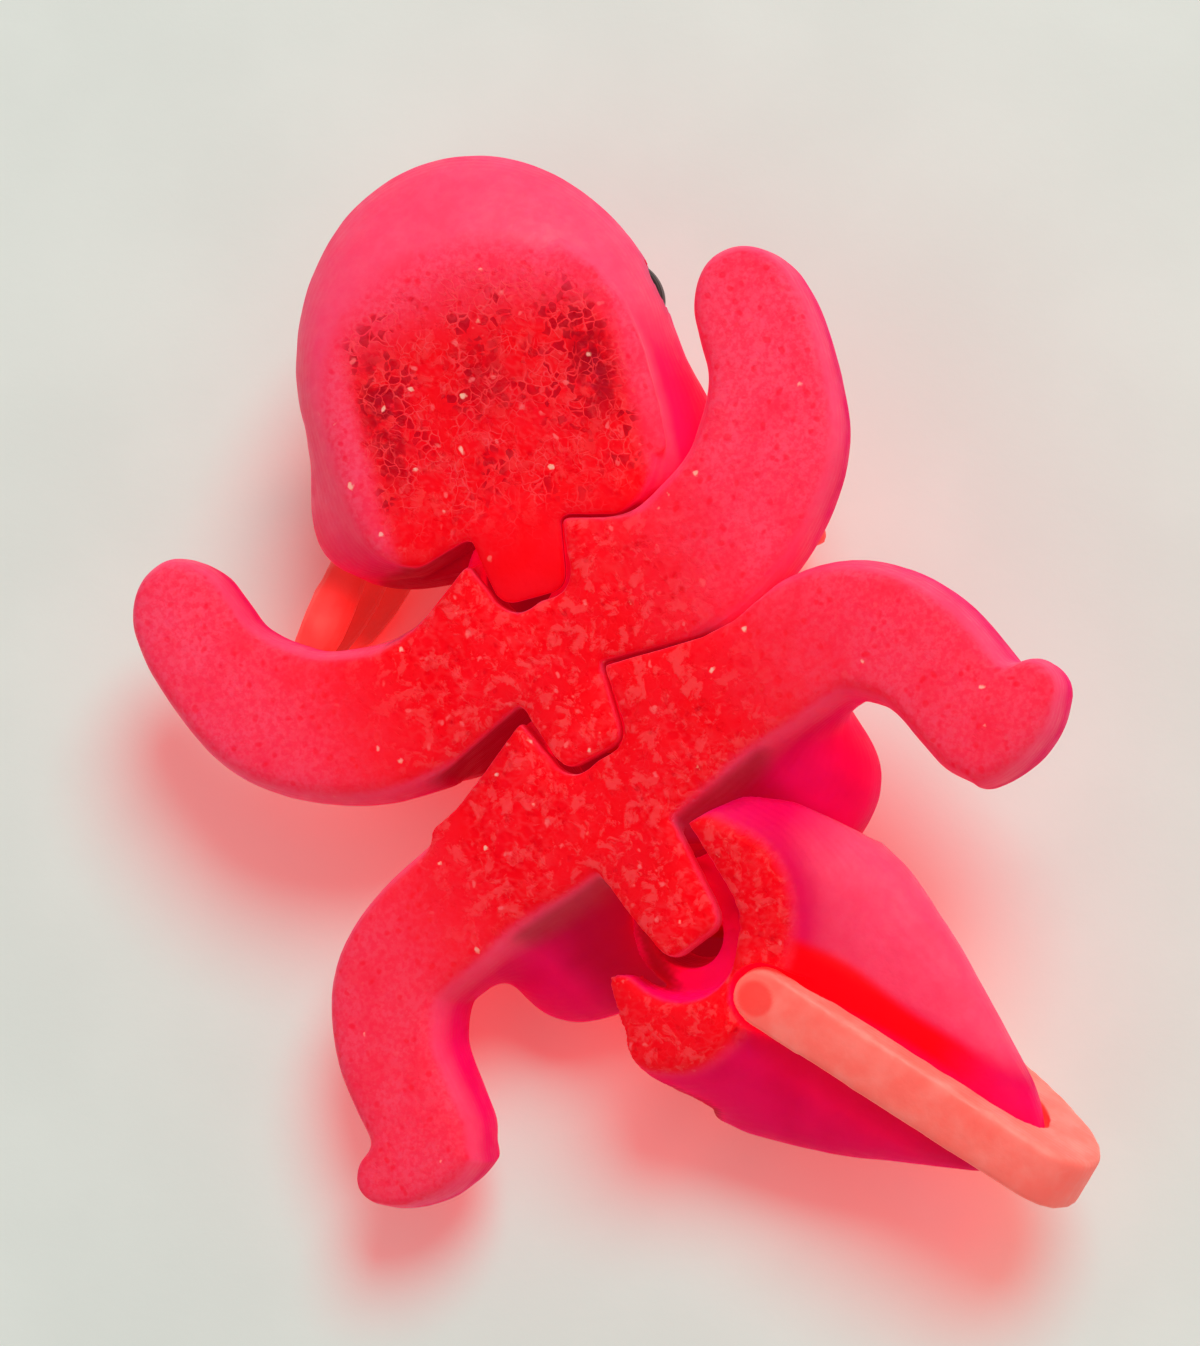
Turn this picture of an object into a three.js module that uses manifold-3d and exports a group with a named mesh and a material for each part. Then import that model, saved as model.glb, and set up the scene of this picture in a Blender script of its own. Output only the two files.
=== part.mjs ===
// Articulated axolotl figure, a small print-in-place toy about 50 mm long, lying on its back with its tail curled to one side.
// Four rigid segments (head, front body, rear body, tail) are chained by three tongue-and-pin joints.
// Each segment is drawn in its own frame: +X the animal's right, +Y forward, +Z towards its back, Z = 0 on the flat belly.
// Millimetres, +Z of the whole figure is up from the table it lies on.
import * as THREE from "three";
import { mergeVertices } from "three/addons/utils/BufferGeometryUtils.js";
import Module from "manifold-3d";

const wasm = await Module();
wasm.setup();

// ---------------------------------------------------------------- driving dimensions
const NECK_TO_WAIST = 7.0; // between the neck and waist pins
const WAIST_TO_TAIL = 8.5; // between the waist and tail pins
const HEAD = { half: 7.8, flatHalf: 5.9, nose: 17.3, chin: 11.9, back: 1.0, lean: 0.9, widestY: 8.2, widestZ: 3.6, top: 10.4 };
const FRONT = { half: 8.8, flatHalf: 4.2, top: 9.0, widestZ: 4.6 };
const REAR = { half: 9.0, flatHalf: 4.6, top: 8.9, widestZ: 5.0 };
const TAIL = { root: 3.4, tip: -16.3, play: 0.35, wall: -0.8, inset: 4.4, turnMost: 28 };
const FIN = { thick: 2.3, gap: 0.2, start: -4.1, inlay: 0.9 };
const GILL = { length: 6.2, radius: 0.95, seat: 1.5, gap: 0.25 };
const EYE = { radius: 1.3, bulge: 0.9, gap: 0.18 };
// the joint, stacked from the belly up: prong, tongue with its eye, roof
const JOINT = {
  prongTop: 1.0,
  roof: 4.8,
  eyeBottom: 1.6,
  eyeTop: 4.2,
  eyeRadius: 2.25,
  boreRadius: 1.5,
  pinRadius: 0.7,
  pinGap: 0.05,
  room: 3.0,
  crack: 0.2,
  dome: 2.9,
  domeGap: 0.8,
};
// how the segments lie against each other in the stored pose: turn about the pin and the tilt that the joint's play gives (degrees), and how far the tongue's eye sits off the pin (mm)
const NECK = { yaw: 12.5, pitch: -6.0, roll: 8.0, slip: [-0.45, 0.2] };
const WAIST = { yaw: 8.5, pitch: -3.0, roll: 6.5, slip: [-0.45, 0.25] };
const TAIL_ROOT = { yaw: -22.5, pitch: -11.0, roll: -9.5, slip: [0.45, 0.25] };
// how far the neck and the waist turn back from the stored pose, degrees
const TURN = { neck: -20, waist: -10 };
// the edge that a segment's flat belly turns to the segment behind it, either side of the prong
const HEAD_EDGE = [[-5.2, 0.9], [-2.2, 1.7], [2.2, 1.7], [5.2, 0.9]];
const FRONT_EDGE = [[-6.2, -2.4], [-1.9, -1.4], [1.9, -1.4], [6.2, -2.4]];
// and on round its side
const HEAD_SIDE = [[7.4, 0.9], [9.2, 2.4], [9.3, 12]];
const FRONT_SIDE = [[7.6, -2.45], [9.4, -2.0], [11.0, -1.15], [12.8, 0.6], [15.0, 3.0], [15.6, 9]];
// how the whole figure lies on the table, degrees: on the two upper gill stalks and the top of the tail fin
const LIE = { x: -178.196, y: 15.192, z: -145.388 };

const PINK = { color: 0xf0144c, roughness: 0.55, metalness: 0 };
const SALMON = { color: 0xff6a66, roughness: 0.5, metalness: 0 };
const BLACK = { color: 0x120608, roughness: 0.2, metalness: 0 };

const rad = THREE.MathUtils.degToRad;
// the play of a joint is about the middle of the tongue's eye
const PLAY = (JOINT.eyeBottom + JOINT.eyeTop) / 2;

// ---------------------------------------------------------------- helpers
// a closed three.js geometry as a solid, turned face out
function solid(geometry) {
  const g = geometry.clone();
  for (const name of Object.keys(g.attributes)) if (name !== "position") g.deleteAttribute(name);
  const merged = mergeVertices(g, 1e-4);
  const vertProperties = new Float32Array(merged.attributes.position.array);
  const triVerts = new Uint32Array(merged.index.array);
  const made = new wasm.Manifold(new wasm.Mesh({ numProp: 3, vertProperties, triVerts }));
  if (made.volume() > 0) return made;
  for (let i = 0; i < triVerts.length; i += 3) [triVerts[i + 1], triVerts[i + 2]] = [triVerts[i + 2], triVerts[i + 1]];
  return new wasm.Manifold(new wasm.Mesh({ numProp: 3, vertProperties, triVerts }));
}

function geometryOf(s) {
  const m = s.getMesh();
  const position = new Float32Array(m.numVert * 3);
  for (let i = 0; i < m.numVert; i++) position.set(m.vertProperties.subarray(i * m.numProp, i * m.numProp + 3), i * 3);
  const g = new THREE.BufferGeometry();
  g.setAttribute("position", new THREE.BufferAttribute(position, 3));
  g.setIndex(new THREE.BufferAttribute(new Uint32Array(m.triVerts), 1));
  g.computeVertexNormals();
  return g;
}

function piece(name, s, look) {
  const mesh = new THREE.Mesh(geometryOf(s), new THREE.MeshStandardMaterial(look));
  mesh.name = name;
  return mesh;
}

// a sphere's grid pulled onto any surface: at(u, v) with u round the section and v from one pole to the other
function loft(around, along, at) {
  const g = new THREE.SphereGeometry(1, around, along);
  const p = g.attributes.position;
  for (let j = 0, i = 0; j <= along; j++)
    for (let k = 0; k <= around; k++, i++) {
      const q = at((k % around) / around, j / along);
      p.setXYZ(i, q[0], q[1], q[2]);
    }
  return solid(g);
}

const cylinder = (r, z0, z1, x = 0, y = 0, sides = 24) =>
  solid(new THREE.CylinderGeometry(r, r, z1 - z0, sides).rotateX(Math.PI / 2).translate(x, y, (z0 + z1) / 2));
const ellipsoid = (c, r, around = 24, along = 14) =>
  solid(new THREE.SphereGeometry(1, around, along).rotateX(Math.PI / 2).scale(r[0], r[1], r[2]).translate(c[0], c[1], c[2]));
const block = (lo, hi) =>
  solid(new THREE.BoxGeometry(hi[0] - lo[0], hi[1] - lo[1], hi[2] - lo[2]).translate((lo[0] + hi[0]) / 2, (lo[1] + hi[1]) / 2, (lo[2] + hi[2]) / 2));
function prism(points, z0, z1) {
  const s = new THREE.Shape(points.map((p) => new THREE.Vector2(p[0], p[1])));
  return solid(new THREE.ExtrudeGeometry(s, { depth: z1 - z0, bevelEnabled: false }).translate(0, 0, z0));
}
const power = (t, n) => Math.sign(t) * Math.pow(Math.abs(t), n);
const mix = (a, b, t) => a + (b - a) * t;
const smooth = (t) => { const c = Math.min(1, Math.max(0, t)); return c * c * (3 - 2 * c); };

// a value from rows of [position, value], eased between rows
function along(rows, s) {
  if (s <= rows[0][0]) return rows[0][1];
  for (let i = 1; i < rows.length; i++)
    if (s <= rows[i][0]) return mix(rows[i - 1][1], rows[i][1], smooth((s - rows[i - 1][0]) / (rows[i][0] - rows[i - 1][0])));
  return rows[rows.length - 1][1];
}

// a value from rows of [position, value], straight between rows
function straight(rows, s) {
  if (s <= rows[0][0]) return rows[0][1];
  for (let i = 1; i < rows.length; i++)
    if (s <= rows[i][0]) return mix(rows[i - 1][1], rows[i][1], (s - rows[i - 1][0]) / (rows[i][0] - rows[i - 1][0]));
  return rows[rows.length - 1][1];
}

// ---------------------------------------------------------------- joints
// what the segment in front of a pin carries: the prong below, the domed roof above, and room for the tongue between them
function prong(y, base, grown = 0, z0 = 0, z1 = JOINT.prongTop) {
  const g = grown;
  const s = new THREE.Shape();
  s.moveTo(-2.0 - g, base);
  s.lineTo(-1.5 - g, y - 0.35);
  s.quadraticCurveTo(-1.4 - g, y - 1.1 - g, -0.75, y - 1.15 - g);
  s.lineTo(0.75, y - 1.15 - g);
  s.quadraticCurveTo(1.4 + g, y - 1.1 - g, 1.5 + g, y - 0.35);
  s.lineTo(2.0 + g, base);
  s.closePath();
  return solid(new THREE.ExtrudeGeometry(s, { depth: z1 - z0, bevelEnabled: false, curveSegments: 4 }).translate(0, 0, z0));
}
// the belly's edge either side of a prong, cut back
const edged = (body, edge) => {
  const last = edge[edge.length - 1];
  return body.subtract(prism([...edge, [last[0], last[1] - 5], [edge[0][0], edge[0][1] - 5]], -1, 4.4));
};
// what a shape of the segment in front passes through while the joint turns, in the frame of the segment behind
function swung(shape, at, turn, offset, least) {
  let all = null;
  for (let i = 0; i <= 5; i++) {
    const m = new THREE.Matrix4()
      .makeTranslation(at[0] + turn.slip[0], at[1] + turn.slip[1], PLAY)
      .multiply(new THREE.Matrix4().makeRotationFromEuler(new THREE.Euler(rad(turn.pitch), rad(turn.roll), rad(turn.yaw), "ZXY")))
      .multiply(new THREE.Matrix4().makeRotationZ(rad(mix(0, least - 0.8, i / 5))))
      .multiply(new THREE.Matrix4().makeTranslation(0, offset, -PLAY));
    const placed = shape.transform(m.elements);
    all = all ? all.add(placed) : placed;
  }
  return all;
}
// a segment's outline from its rear edge forward, with the gap to its neighbour round it
function behind(edge, side) {
  const gap = JOINT.crack - 0.05;
  const right = [...edge.slice(edge.length / 2).map((p) => [p[0], p[1] - gap]), ...side.map((p) => [p[0] + gap, p[1] - gap])];
  return prism([...right, ...mirrored(right).reverse()], -3, 12);
}
const slot = (y) => prong(y, y + 4.5, JOINT.crack, -2, JOINT.eyeBottom);
function domed(y, extra, top) {
  const r = JOINT.dome + extra;
  return ellipsoid([0, y, JOINT.roof], [r, r, top - JOINT.roof + extra], 22, 12).intersect(block([-9, y - 9, JOINT.roof - extra], [9, y + 9, 20]));
}
const withClevis = (body, y, base, top) =>
  body.add(prong(y, base)).add(domed(y, 0, top)).subtract(cylinder(JOINT.room, JOINT.prongTop, JOINT.roof, 0, y));
// what the segment behind a pin carries: the tongue with its eye, and notches for the prong and the dome
function withTongue(body, y, top, notch, thin = 0) {
  const z0 = JOINT.eyeBottom + thin;
  const z1 = JOINT.eyeTop - thin;
  const tongue = cylinder(JOINT.eyeRadius, z0, z1, 0, y).add(block([-1.5, y - 3.4, z0], [1.5, y - 1.0, z1]));
  return body
    .subtract(cylinder(JOINT.room, z1, JOINT.roof + 0.02, 0, y))
    .subtract(notch)
    .subtract(domed(y, JOINT.domeGap, top))
    .add(tongue)
    .subtract(cylinder(JOINT.boreRadius, z0 - 0.5, z1 + 0.5, 0, y, 24));
}
const pin = () => cylinder(JOINT.pinRadius, JOINT.prongTop + JOINT.pinGap, JOINT.roof - JOINT.pinGap, 0, 0, 20);

// ---------------------------------------------------------------- limbs
// a limb that lies flat on its belly side: path points [x, y], half-widths and heights by arc length, round at the tip
function limb(points, widths, heights, tipRadius, rings = 14, around = 12) {
  const curve = new THREE.CatmullRomCurve3(points.map((p) => new THREE.Vector3(p[0], p[1], 0)), false, "centripetal");
  curve.arcLengthDivisions = 400;
  const length = curve.getLength();
  return loft(around, rings, (u, v) => {
    // rings crowd together at the round tip
    const s = v < 0.6 ? (v / 0.6) * (length - tipRadius) : length - tipRadius + tipRadius * Math.sin(((v - 0.6) / 0.4) * (Math.PI / 2));
    const q = curve.getPointAt(Math.min(1, s / length));
    const t = curve.getTangentAt(Math.min(1, s / length));
    const k = s > length - tipRadius ? Math.sqrt(Math.max(0, 1 - ((s - length + tipRadius) / tipRadius) ** 2)) : v === 0 ? 0 : 1;
    const a = 2 * Math.PI * u;
    const w = along(widths, s / length) * k;
    const h = along(heights, s / length);
    const mid = 1.25;
    const raw = -0.45 + (h + 0.45) * (0.5 + 0.5 * power(Math.sin(a), 0.78));
    const z = Math.max(0, mid + (raw - mid) * k);
    const side = w * power(Math.cos(a), 0.72);
    return [q.x - t.y * side, q.y + t.x * side, z];
  });
}
const mirrored = (points) => points.map((p) => [-p[0], p[1]]);

// ---------------------------------------------------------------- head, neck pin at its origin
function headShell() {
  const H = HEAD;
  const body = loft(30, 18, (u, v) => {
    const a = 2 * Math.PI * u;
    const c = Math.cos(a);
    const s = Math.sin(a);
    let half, nose, back, z;
    if (v < 0.58) {
      // crown
      const g = (1 - v / 0.58) * (Math.PI / 2);
      const k = power(Math.cos(g), 0.86);
      half = H.half * k;
      nose = mix(7.4, H.nose, k);
      z = H.widestZ + (H.top - H.widestZ) * power(Math.sin(g), 0.9);
      back = mix(7.4, H.back - H.lean * smooth((z - H.widestZ) / 3.5), power(k, 0.7));
    } else if (v < 0.9) {
      // cheeks and chin, curving in to the flat
      const b = ((v - 0.58) / 0.32) * (Math.PI / 2 - 0.35);
      const e = (1 - Math.cos(b)) / (1 - Math.cos(Math.PI / 2 - 0.35));
      half = mix(H.half, H.flatHalf, e);
      nose = mix(H.nose, H.chin, e);
      back = H.back;
      z = H.widestZ * (1 - Math.sin(b) / Math.sin(Math.PI / 2 - 0.35));
    } else {
      const k = 1 - (v - 0.9) / 0.1;
      half = H.flatHalf * k;
      nose = mix(6.5, H.chin, k);
      back = mix(6.5, H.back, k);
      z = 0;
    }
    const yc = Math.min(H.widestY, mix(back, nose, 0.52));
    const n = s > 0 ? 1.0 : 0.5; // round in front, square behind
    const x = half * power(c, s > 0 ? 1.0 : 0.42);
    const y = yc + (s > 0 ? nose - yc : yc - back) * power(s, n);
    const flare = s < 0 ? 1 + 0.16 * smooth((yc - y) / 6) * smooth((z - 0.6) / 3) : 1;
    return [x * flare, y, z];
  });
  return withClevis(edged(body, HEAD_EDGE), 0, 2.6, 8.6);
}
// gill stalks: seat on the rear corner of the cheek, and the way each one points
const GILLS = [
  { name: "lower", seat: [7.4, 3.0, 5.75], way: [0.64, -0.77, 0.0] },
  { name: "middle", seat: [6.6, 2.8, 7.3], way: [0.74, -0.66, 0.14] },
  { name: "upper", seat: [5.4, 3.0, 8.7], way: [0.76, -0.62, 0.25] },
];
function gillProfile(extra, from) {
  const r = GILL.radius + extra;
  const l = GILL.length + extra;
  return [
    [0, from - extra], [r * 0.72, from - extra], [r * 0.84, 0.6], [r, 2.4], [r * 0.98, l * 0.6], [r * 0.82, l * 0.8], [r * 0.5, l * 0.95], [0, l],
  ].map((p) => new THREE.Vector2(p[0], p[1]));
}
function gill(g, side, extra) {
  const way = new THREE.Vector3(g.way[0] * side, g.way[1], g.way[2]).normalize();
  const turn = new THREE.Quaternion().setFromUnitVectors(new THREE.Vector3(0, 1, 0), way);
  return solid(new THREE.LatheGeometry(gillProfile(extra, -GILL.seat), 12).applyQuaternion(turn).translate(g.seat[0] * side, g.seat[1], g.seat[2]));
}
function eye(side, extra) {
  const way = new THREE.Vector3(side * 0.93, 0.27, 0.25).normalize();
  const turn = new THREE.Quaternion().setFromUnitVectors(new THREE.Vector3(0, 0, 1), way);
  const g = new THREE.SphereGeometry(1, 14, 8).rotateX(Math.PI / 2).scale(EYE.radius + extra, EYE.radius + extra, EYE.bulge + extra);
  return solid(g.applyQuaternion(turn).translate(side * 7.28, 9.6, 4.7));
}
function headParts() {
  let shell = headShell();
  for (const side of [1, -1]) {
    shell = shell.subtract(eye(side, EYE.gap));
    for (const g of GILLS) shell = shell.subtract(gill(g, side, GILL.gap));
  }
  return shell;
}

// ---------------------------------------------------------------- trunks
function trunk(T, y0, y1, around = 28, rings = 14, inset = 0) {
  return loft(around, rings, (u, v) => {
    const a = 2 * Math.PI * u;
    let k, z, half;
    if (v < 0.5) {
      const g = (1 - v / 0.5) * (Math.PI / 2);
      k = power(Math.cos(g), 0.85);
      half = T.half * k;
      z = T.widestZ + (T.top - T.widestZ) * power(Math.sin(g), 0.9);
    } else if (v < 0.86) {
      const b = ((v - 0.5) / 0.36) * (Math.PI / 2 - 0.3);
      const e = (1 - Math.cos(b)) / (1 - Math.cos(Math.PI / 2 - 0.3));
      half = mix(T.half, T.flatHalf, e);
      k = 1;
      z = T.widestZ * (1 - Math.sin(b) / Math.sin(Math.PI / 2 - 0.3));
    } else {
      k = 1 - (v - 0.86) / 0.14;
      half = T.flatHalf * k;
      z = 0;
    }
    const long = v < 0.5 ? power(Math.max(0, k), 0.45) : 1;
    // the rear wall leans in towards the belly
    const back = y0 + inset * (1 - smooth(z / 5.0));
    const yc = (back + y1) / 2;
    const reach = ((y1 - back) / 2) * (v < 0.86 ? long : k);
    return [half * power(Math.cos(a), 0.65), yc + reach * power(Math.sin(a), 0.6), z];
  });
}

function frontBody() {
  const neck = NECK_TO_WAIST / 2;
  const waist = -NECK_TO_WAIST / 2;
  const path = [[1.2, 0.4], [7.6, 0.8], [11.1, 2.7], [13.0, 5.9], [13.55, 11.1]];
  const widths = [[0, 2.7], [0.18, 3.1], [0.35, 3.2], [0.55, 3.05], [0.8, 2.45], [1, 2.0]];
  const heights = [[0, 4.6], [0.35, 4.0], [0.7, 3.9], [1, 3.7]];
  let body = trunk(FRONT, waist + 1.0, neck - 0.5);
  body = body.add(limb(path, widths, heights, 2.2)).add(limb(mirrored(path), widths, heights, 2.2));
  // the shoulders reach forward beside the head's prong
  const shoulders = prism([[-6.5, 2.0], [-5.6, 4.0], [-2.4, 4.75], [2.4, 4.75], [5.6, 4.0], [6.5, 2.0]], 0, 3.0);
  body = body.add(shoulders.subtract(swung(behind(HEAD_EDGE, HEAD_SIDE), [0, neck], NECK, 0, TURN.neck)));
  body = withTongue(body, neck, 8.6, swung(slot(0), [0, neck], NECK, 0, TURN.neck));
  return withClevis(edged(body, FRONT_EDGE), waist, waist + 3.0, 8.3);
}

function rearBody() {
  const waist = WAIST_TO_TAIL / 2;
  const tail = -WAIST_TO_TAIL / 2;
  const path = [[1.2, 2.4], [7.6, 1.9], [11.7, 1.3], [13.6, -0.9], [14.2, -3.9], [14.3, -7.3]];
  const widths = [[0, 2.6], [0.18, 2.85], [0.35, 2.9], [0.55, 2.75], [0.8, 2.4], [1, 2.15]];
  const heights = [[0, 5.0], [0.35, 4.8], [0.7, 4.6], [1, 4.2]];
  const toe = [[13.4, -5.2], [15.3, -5.7], [16.7, -5.2], [17.6, -4.4]];
  const toeWidths = [[0, 1.9], [0.5, 1.5], [1, 1.05]];
  const toeHeights = [[0, 3.9], [1, 3.2]];
  let body = trunk(REAR, tail + TAIL.wall, waist - 0.5, 26, 14, TAIL.inset);
  for (const flip of [(p) => p, mirrored])
    body = body.add(limb(flip(path), widths, heights, 2.2)).add(limb(flip(toe), toeWidths, toeHeights, 1.1, 8, 10));
  // the hips reach forward beside the front body's prong
  body = body.add(prism([[-8.2, 2.5], [-6.9, 5.0], [-5.6, 5.7], [-4.0, 6.2], [-2.0, 6.4], [2.0, 6.4], [4.0, 6.2], [5.6, 5.7], [6.9, 5.0], [8.2, 2.5]], 0, 3.4));
  body = body.subtract(swung(behind(FRONT_EDGE, FRONT_SIDE), [0, waist], WAIST, NECK_TO_WAIST / 2, TURN.waist));
  body = withTongue(body, waist, 8.3, swung(slot(-NECK_TO_WAIST / 2), [0, waist], WAIST, NECK_TO_WAIST / 2, TURN.waist));
  return withClevis(body, tail, tail + TAIL.wall + TAIL.inset + 0.8, 8.2);
}

// ---------------------------------------------------------------- tail, tail pin at its origin
const TAIL_HALF = [[-3.4, 5.6], [-1.5, 6.9], [1.5, 7.1], [6, 6.5], [9.5, 5.0], [13.2, 2.9], [16.3, 1.1]];
function tailCone(extra) {
  const T = TAIL;
  return loft(28, 18, (u, v) => {
    const a = 2 * Math.PI * u;
    const y = mix(T.root + extra, T.tip - extra, v);
    const f = Math.min(1, Math.max(0, (T.root - y) / (T.root - T.tip)));
    const end = v < 0.06 ? power(v / 0.06, 0.4) : v > 0.9 ? Math.sqrt(Math.max(0, 1 - ((v - 0.9) / 0.1) ** 2)) : 1;
    const half = (straight(TAIL_HALF, -y) + extra) * end;
    const low = mix(-1.6, 1.4, smooth((-y - 0.4) / 6.6)) - extra;
    const high = mix(8.7, 4.0, f * f * 0.4 + f * 0.6) + extra;
    const mid = mix(4.6, 2.4, f);
    const z = mid + (Math.sin(a) > 0 ? high - mid : mid - low) * power(Math.sin(a), 0.95) * end;
    return [half * power(Math.cos(a), 0.9), y, Math.max(extra > 0 ? -0.2 : 0, z)];
  });
}
function tailFin() {
  const s = new THREE.Shape();
  s.moveTo(-2.8, 0.0);
  s.lineTo(-16.1, 0.0);
  s.bezierCurveTo(-17.6, 0.0, -18.5, 1.2, -18.4, 2.6);
  s.bezierCurveTo(-18.2, 4.4, -16.4, 5.6, -13.9, 6.8);
  s.bezierCurveTo(-11.2, 8.2, -8.4, 9.5, -6.4, 9.8);
  s.quadraticCurveTo(-5.2, 9.8, -4.8, 8.2);
  s.lineTo(-4.0, 4.0);
  s.closePath();
  const g = new THREE.ExtrudeGeometry(s, { depth: FIN.thick, bevelEnabled: false, curveSegments: 9 });
  // drawn in the plane of symmetry: shape x is the animal's y, shape y is its z
  g.applyMatrix4(new THREE.Matrix4().makeBasis(new THREE.Vector3(0, 1, 0), new THREE.Vector3(0, 0, 1), new THREE.Vector3(1, 0, 0)));
  return solid(g.translate(-FIN.thick / 2, 0, 0)).subtract(tailCone(FIN.gap)).add(finStart(0, 0));
}
// the fin's round start, let into the tail's flat
function finStart(extra, low) {
  const r = FIN.thick / 2 + extra;
  const pts = [[-r, -6.4]];
  for (let i = 0; i <= 10; i++) pts.push([-r * Math.cos((Math.PI * i) / 10), FIN.start + r * Math.sin((Math.PI * i) / 10)]);
  pts.push([r, -6.4]);
  return prism(pts.reverse(), low, FIN.inlay + extra);
}
// the tail's front is hollowed where the rear body swings through it, from one end of the turn to the other
function tailBody() {
  const T = TAIL;
  // the rear wall's lean, as a profile across the whole width, narrowed at the corners
  const w = T.wall - T.play;
  const lean = prism([[w + 4.1, -1], [w + 4.1, 0.6], [w + 3.1, 1.7], [w + 0.9, 3.6], [w, 5.0], [w, 9.6], [8, 9.6], [8, -1]], -10, 10).transform(
    new THREE.Matrix4().makeBasis(new THREE.Vector3(0, 1, 0), new THREE.Vector3(0, 0, 1), new THREE.Vector3(1, 0, 0)).elements,
  );
  const walls = lean
    .intersect(prism([[-6.0, w], [6.0, w], [8.4, w + 1.2], [9.5, w + 3.4], [9.5, 8], [-9.5, 8], [-9.5, w + 3.4], [-8.4, w + 1.2]], -2, 11))
    .add(prism([[-2.4, 0], [2.4, 0], [2.4, 5], [-2.4, 5]], -1, JOINT.prongTop + 0.5));
  const round = cylinder(2.4, -1, JOINT.prongTop + 0.5).add(domed(0, JOINT.domeGap, 8.2));
  const back = (yaw) =>
    new THREE.Matrix4()
      .makeTranslation(0, 0, PLAY)
      .multiply(new THREE.Matrix4().makeRotationFromEuler(new THREE.Euler(rad(TAIL_ROOT.pitch), rad(TAIL_ROOT.roll), rad(yaw), "ZXY")))
      .multiply(new THREE.Matrix4().makeTranslation(TAIL_ROOT.slip[0], TAIL_ROOT.slip[1], -PLAY))
      .invert().elements;
  let cone = tailCone(0).subtract(finStart(FIN.gap, -1)).subtract(round.transform(back(0)));
  for (let i = 0; i <= 4; i++) cone = cone.subtract(walls.transform(back(mix(-T.turnMost, T.turnMost, i / 4))));
  return withTongue(cone, 0, 8.2, cylinder(2.45, -1, JOINT.eyeBottom + 0.15), 0.15);
}

// ---------------------------------------------------------------- assembly
function segment(name, at, turn) {
  const g = new THREE.Group();
  g.name = name;
  g.position.set(...at);
  g.rotation.set(rad(turn.pitch), rad(turn.roll), rad(turn.yaw), "ZXY");
  return g;
}
function hung(parent, name, at, turn, child, offset) {
  const hinge = segment(name, [at[0], at[1], PLAY], turn);
  child.position.set(offset[0], offset[1], -PLAY);
  hinge.add(child);
  parent.add(hinge);
  return hinge;
}

const rear = new THREE.Group();
rear.name = "rear_segment";
rear.add(piece("rear_body", rearBody(), PINK));
const tailPin = piece("tail_pin", pin(), PINK);
tailPin.position.set(0, -WAIST_TO_TAIL / 2, 0);
rear.add(tailPin);

const front = new THREE.Group();
front.name = "front_segment";
front.add(piece("front_body", frontBody(), PINK));
const waistPin = piece("waist_pin", pin(), PINK);
waistPin.position.set(0, -NECK_TO_WAIST / 2, 0);
front.add(waistPin);
hung(rear, "waist_hinge", [WAIST.slip[0], WAIST_TO_TAIL / 2 + WAIST.slip[1]], WAIST, front, [0, NECK_TO_WAIST / 2]);

const head = new THREE.Group();
head.name = "head_segment";
head.add(piece("head", headParts(), PINK));
head.add(piece("neck_pin", pin(), PINK));
for (const [word, side] of [["right", 1], ["left", -1]]) {
  head.add(piece("eye_" + word, eye(side, 0), BLACK));
  for (const g of GILLS) head.add(piece("gill_" + word + "_" + g.name, gill(g, side, 0), SALMON));
}
hung(front, "neck_hinge", [NECK.slip[0], NECK_TO_WAIST / 2 + NECK.slip[1]], NECK, head, [0, 0]);

const tail = new THREE.Group();
tail.name = "tail_segment";
tail.add(piece("tail_body", tailBody(), PINK));
tail.add(piece("tail_fin", tailFin(), SALMON));
hung(rear, "tail_hinge", [0, -WAIST_TO_TAIL / 2], TAIL_ROOT, tail, TAIL_ROOT.slip);

const figure = new THREE.Group();
figure.name = "figure";
rear.rotation.set(rad(LIE.x), rad(LIE.y), rad(LIE.z), "ZYX");
figure.add(rear);
// the table is Z = 0, under the middle of the figure
figure.updateMatrixWorld(true);
const box = new THREE.Box3().setFromObject(figure, true);
rear.position.set(-(box.min.x + box.max.x) / 2, -(box.min.y + box.max.y) / 2, -box.min.z);

export default figure;
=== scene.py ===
"""Looks of the articulated axolotl figure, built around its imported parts: a small toy printed in translucent pink plastic, lying on its back."""

import math
from types import SimpleNamespace

import bpy
import numpy as np
import openvdb as vdb
from mathutils import Matrix, Vector


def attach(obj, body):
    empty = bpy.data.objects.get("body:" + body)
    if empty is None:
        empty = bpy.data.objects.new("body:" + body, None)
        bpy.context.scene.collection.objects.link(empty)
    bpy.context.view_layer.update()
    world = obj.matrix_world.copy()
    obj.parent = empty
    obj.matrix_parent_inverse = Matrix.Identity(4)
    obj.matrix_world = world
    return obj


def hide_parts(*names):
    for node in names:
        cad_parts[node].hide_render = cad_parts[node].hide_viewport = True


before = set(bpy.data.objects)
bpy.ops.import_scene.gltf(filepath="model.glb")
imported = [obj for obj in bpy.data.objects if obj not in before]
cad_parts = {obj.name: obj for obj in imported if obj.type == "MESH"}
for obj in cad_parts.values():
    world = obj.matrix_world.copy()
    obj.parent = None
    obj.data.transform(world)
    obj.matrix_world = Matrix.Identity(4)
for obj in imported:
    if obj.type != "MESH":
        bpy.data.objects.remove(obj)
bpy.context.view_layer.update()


MM = 0.001

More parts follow.
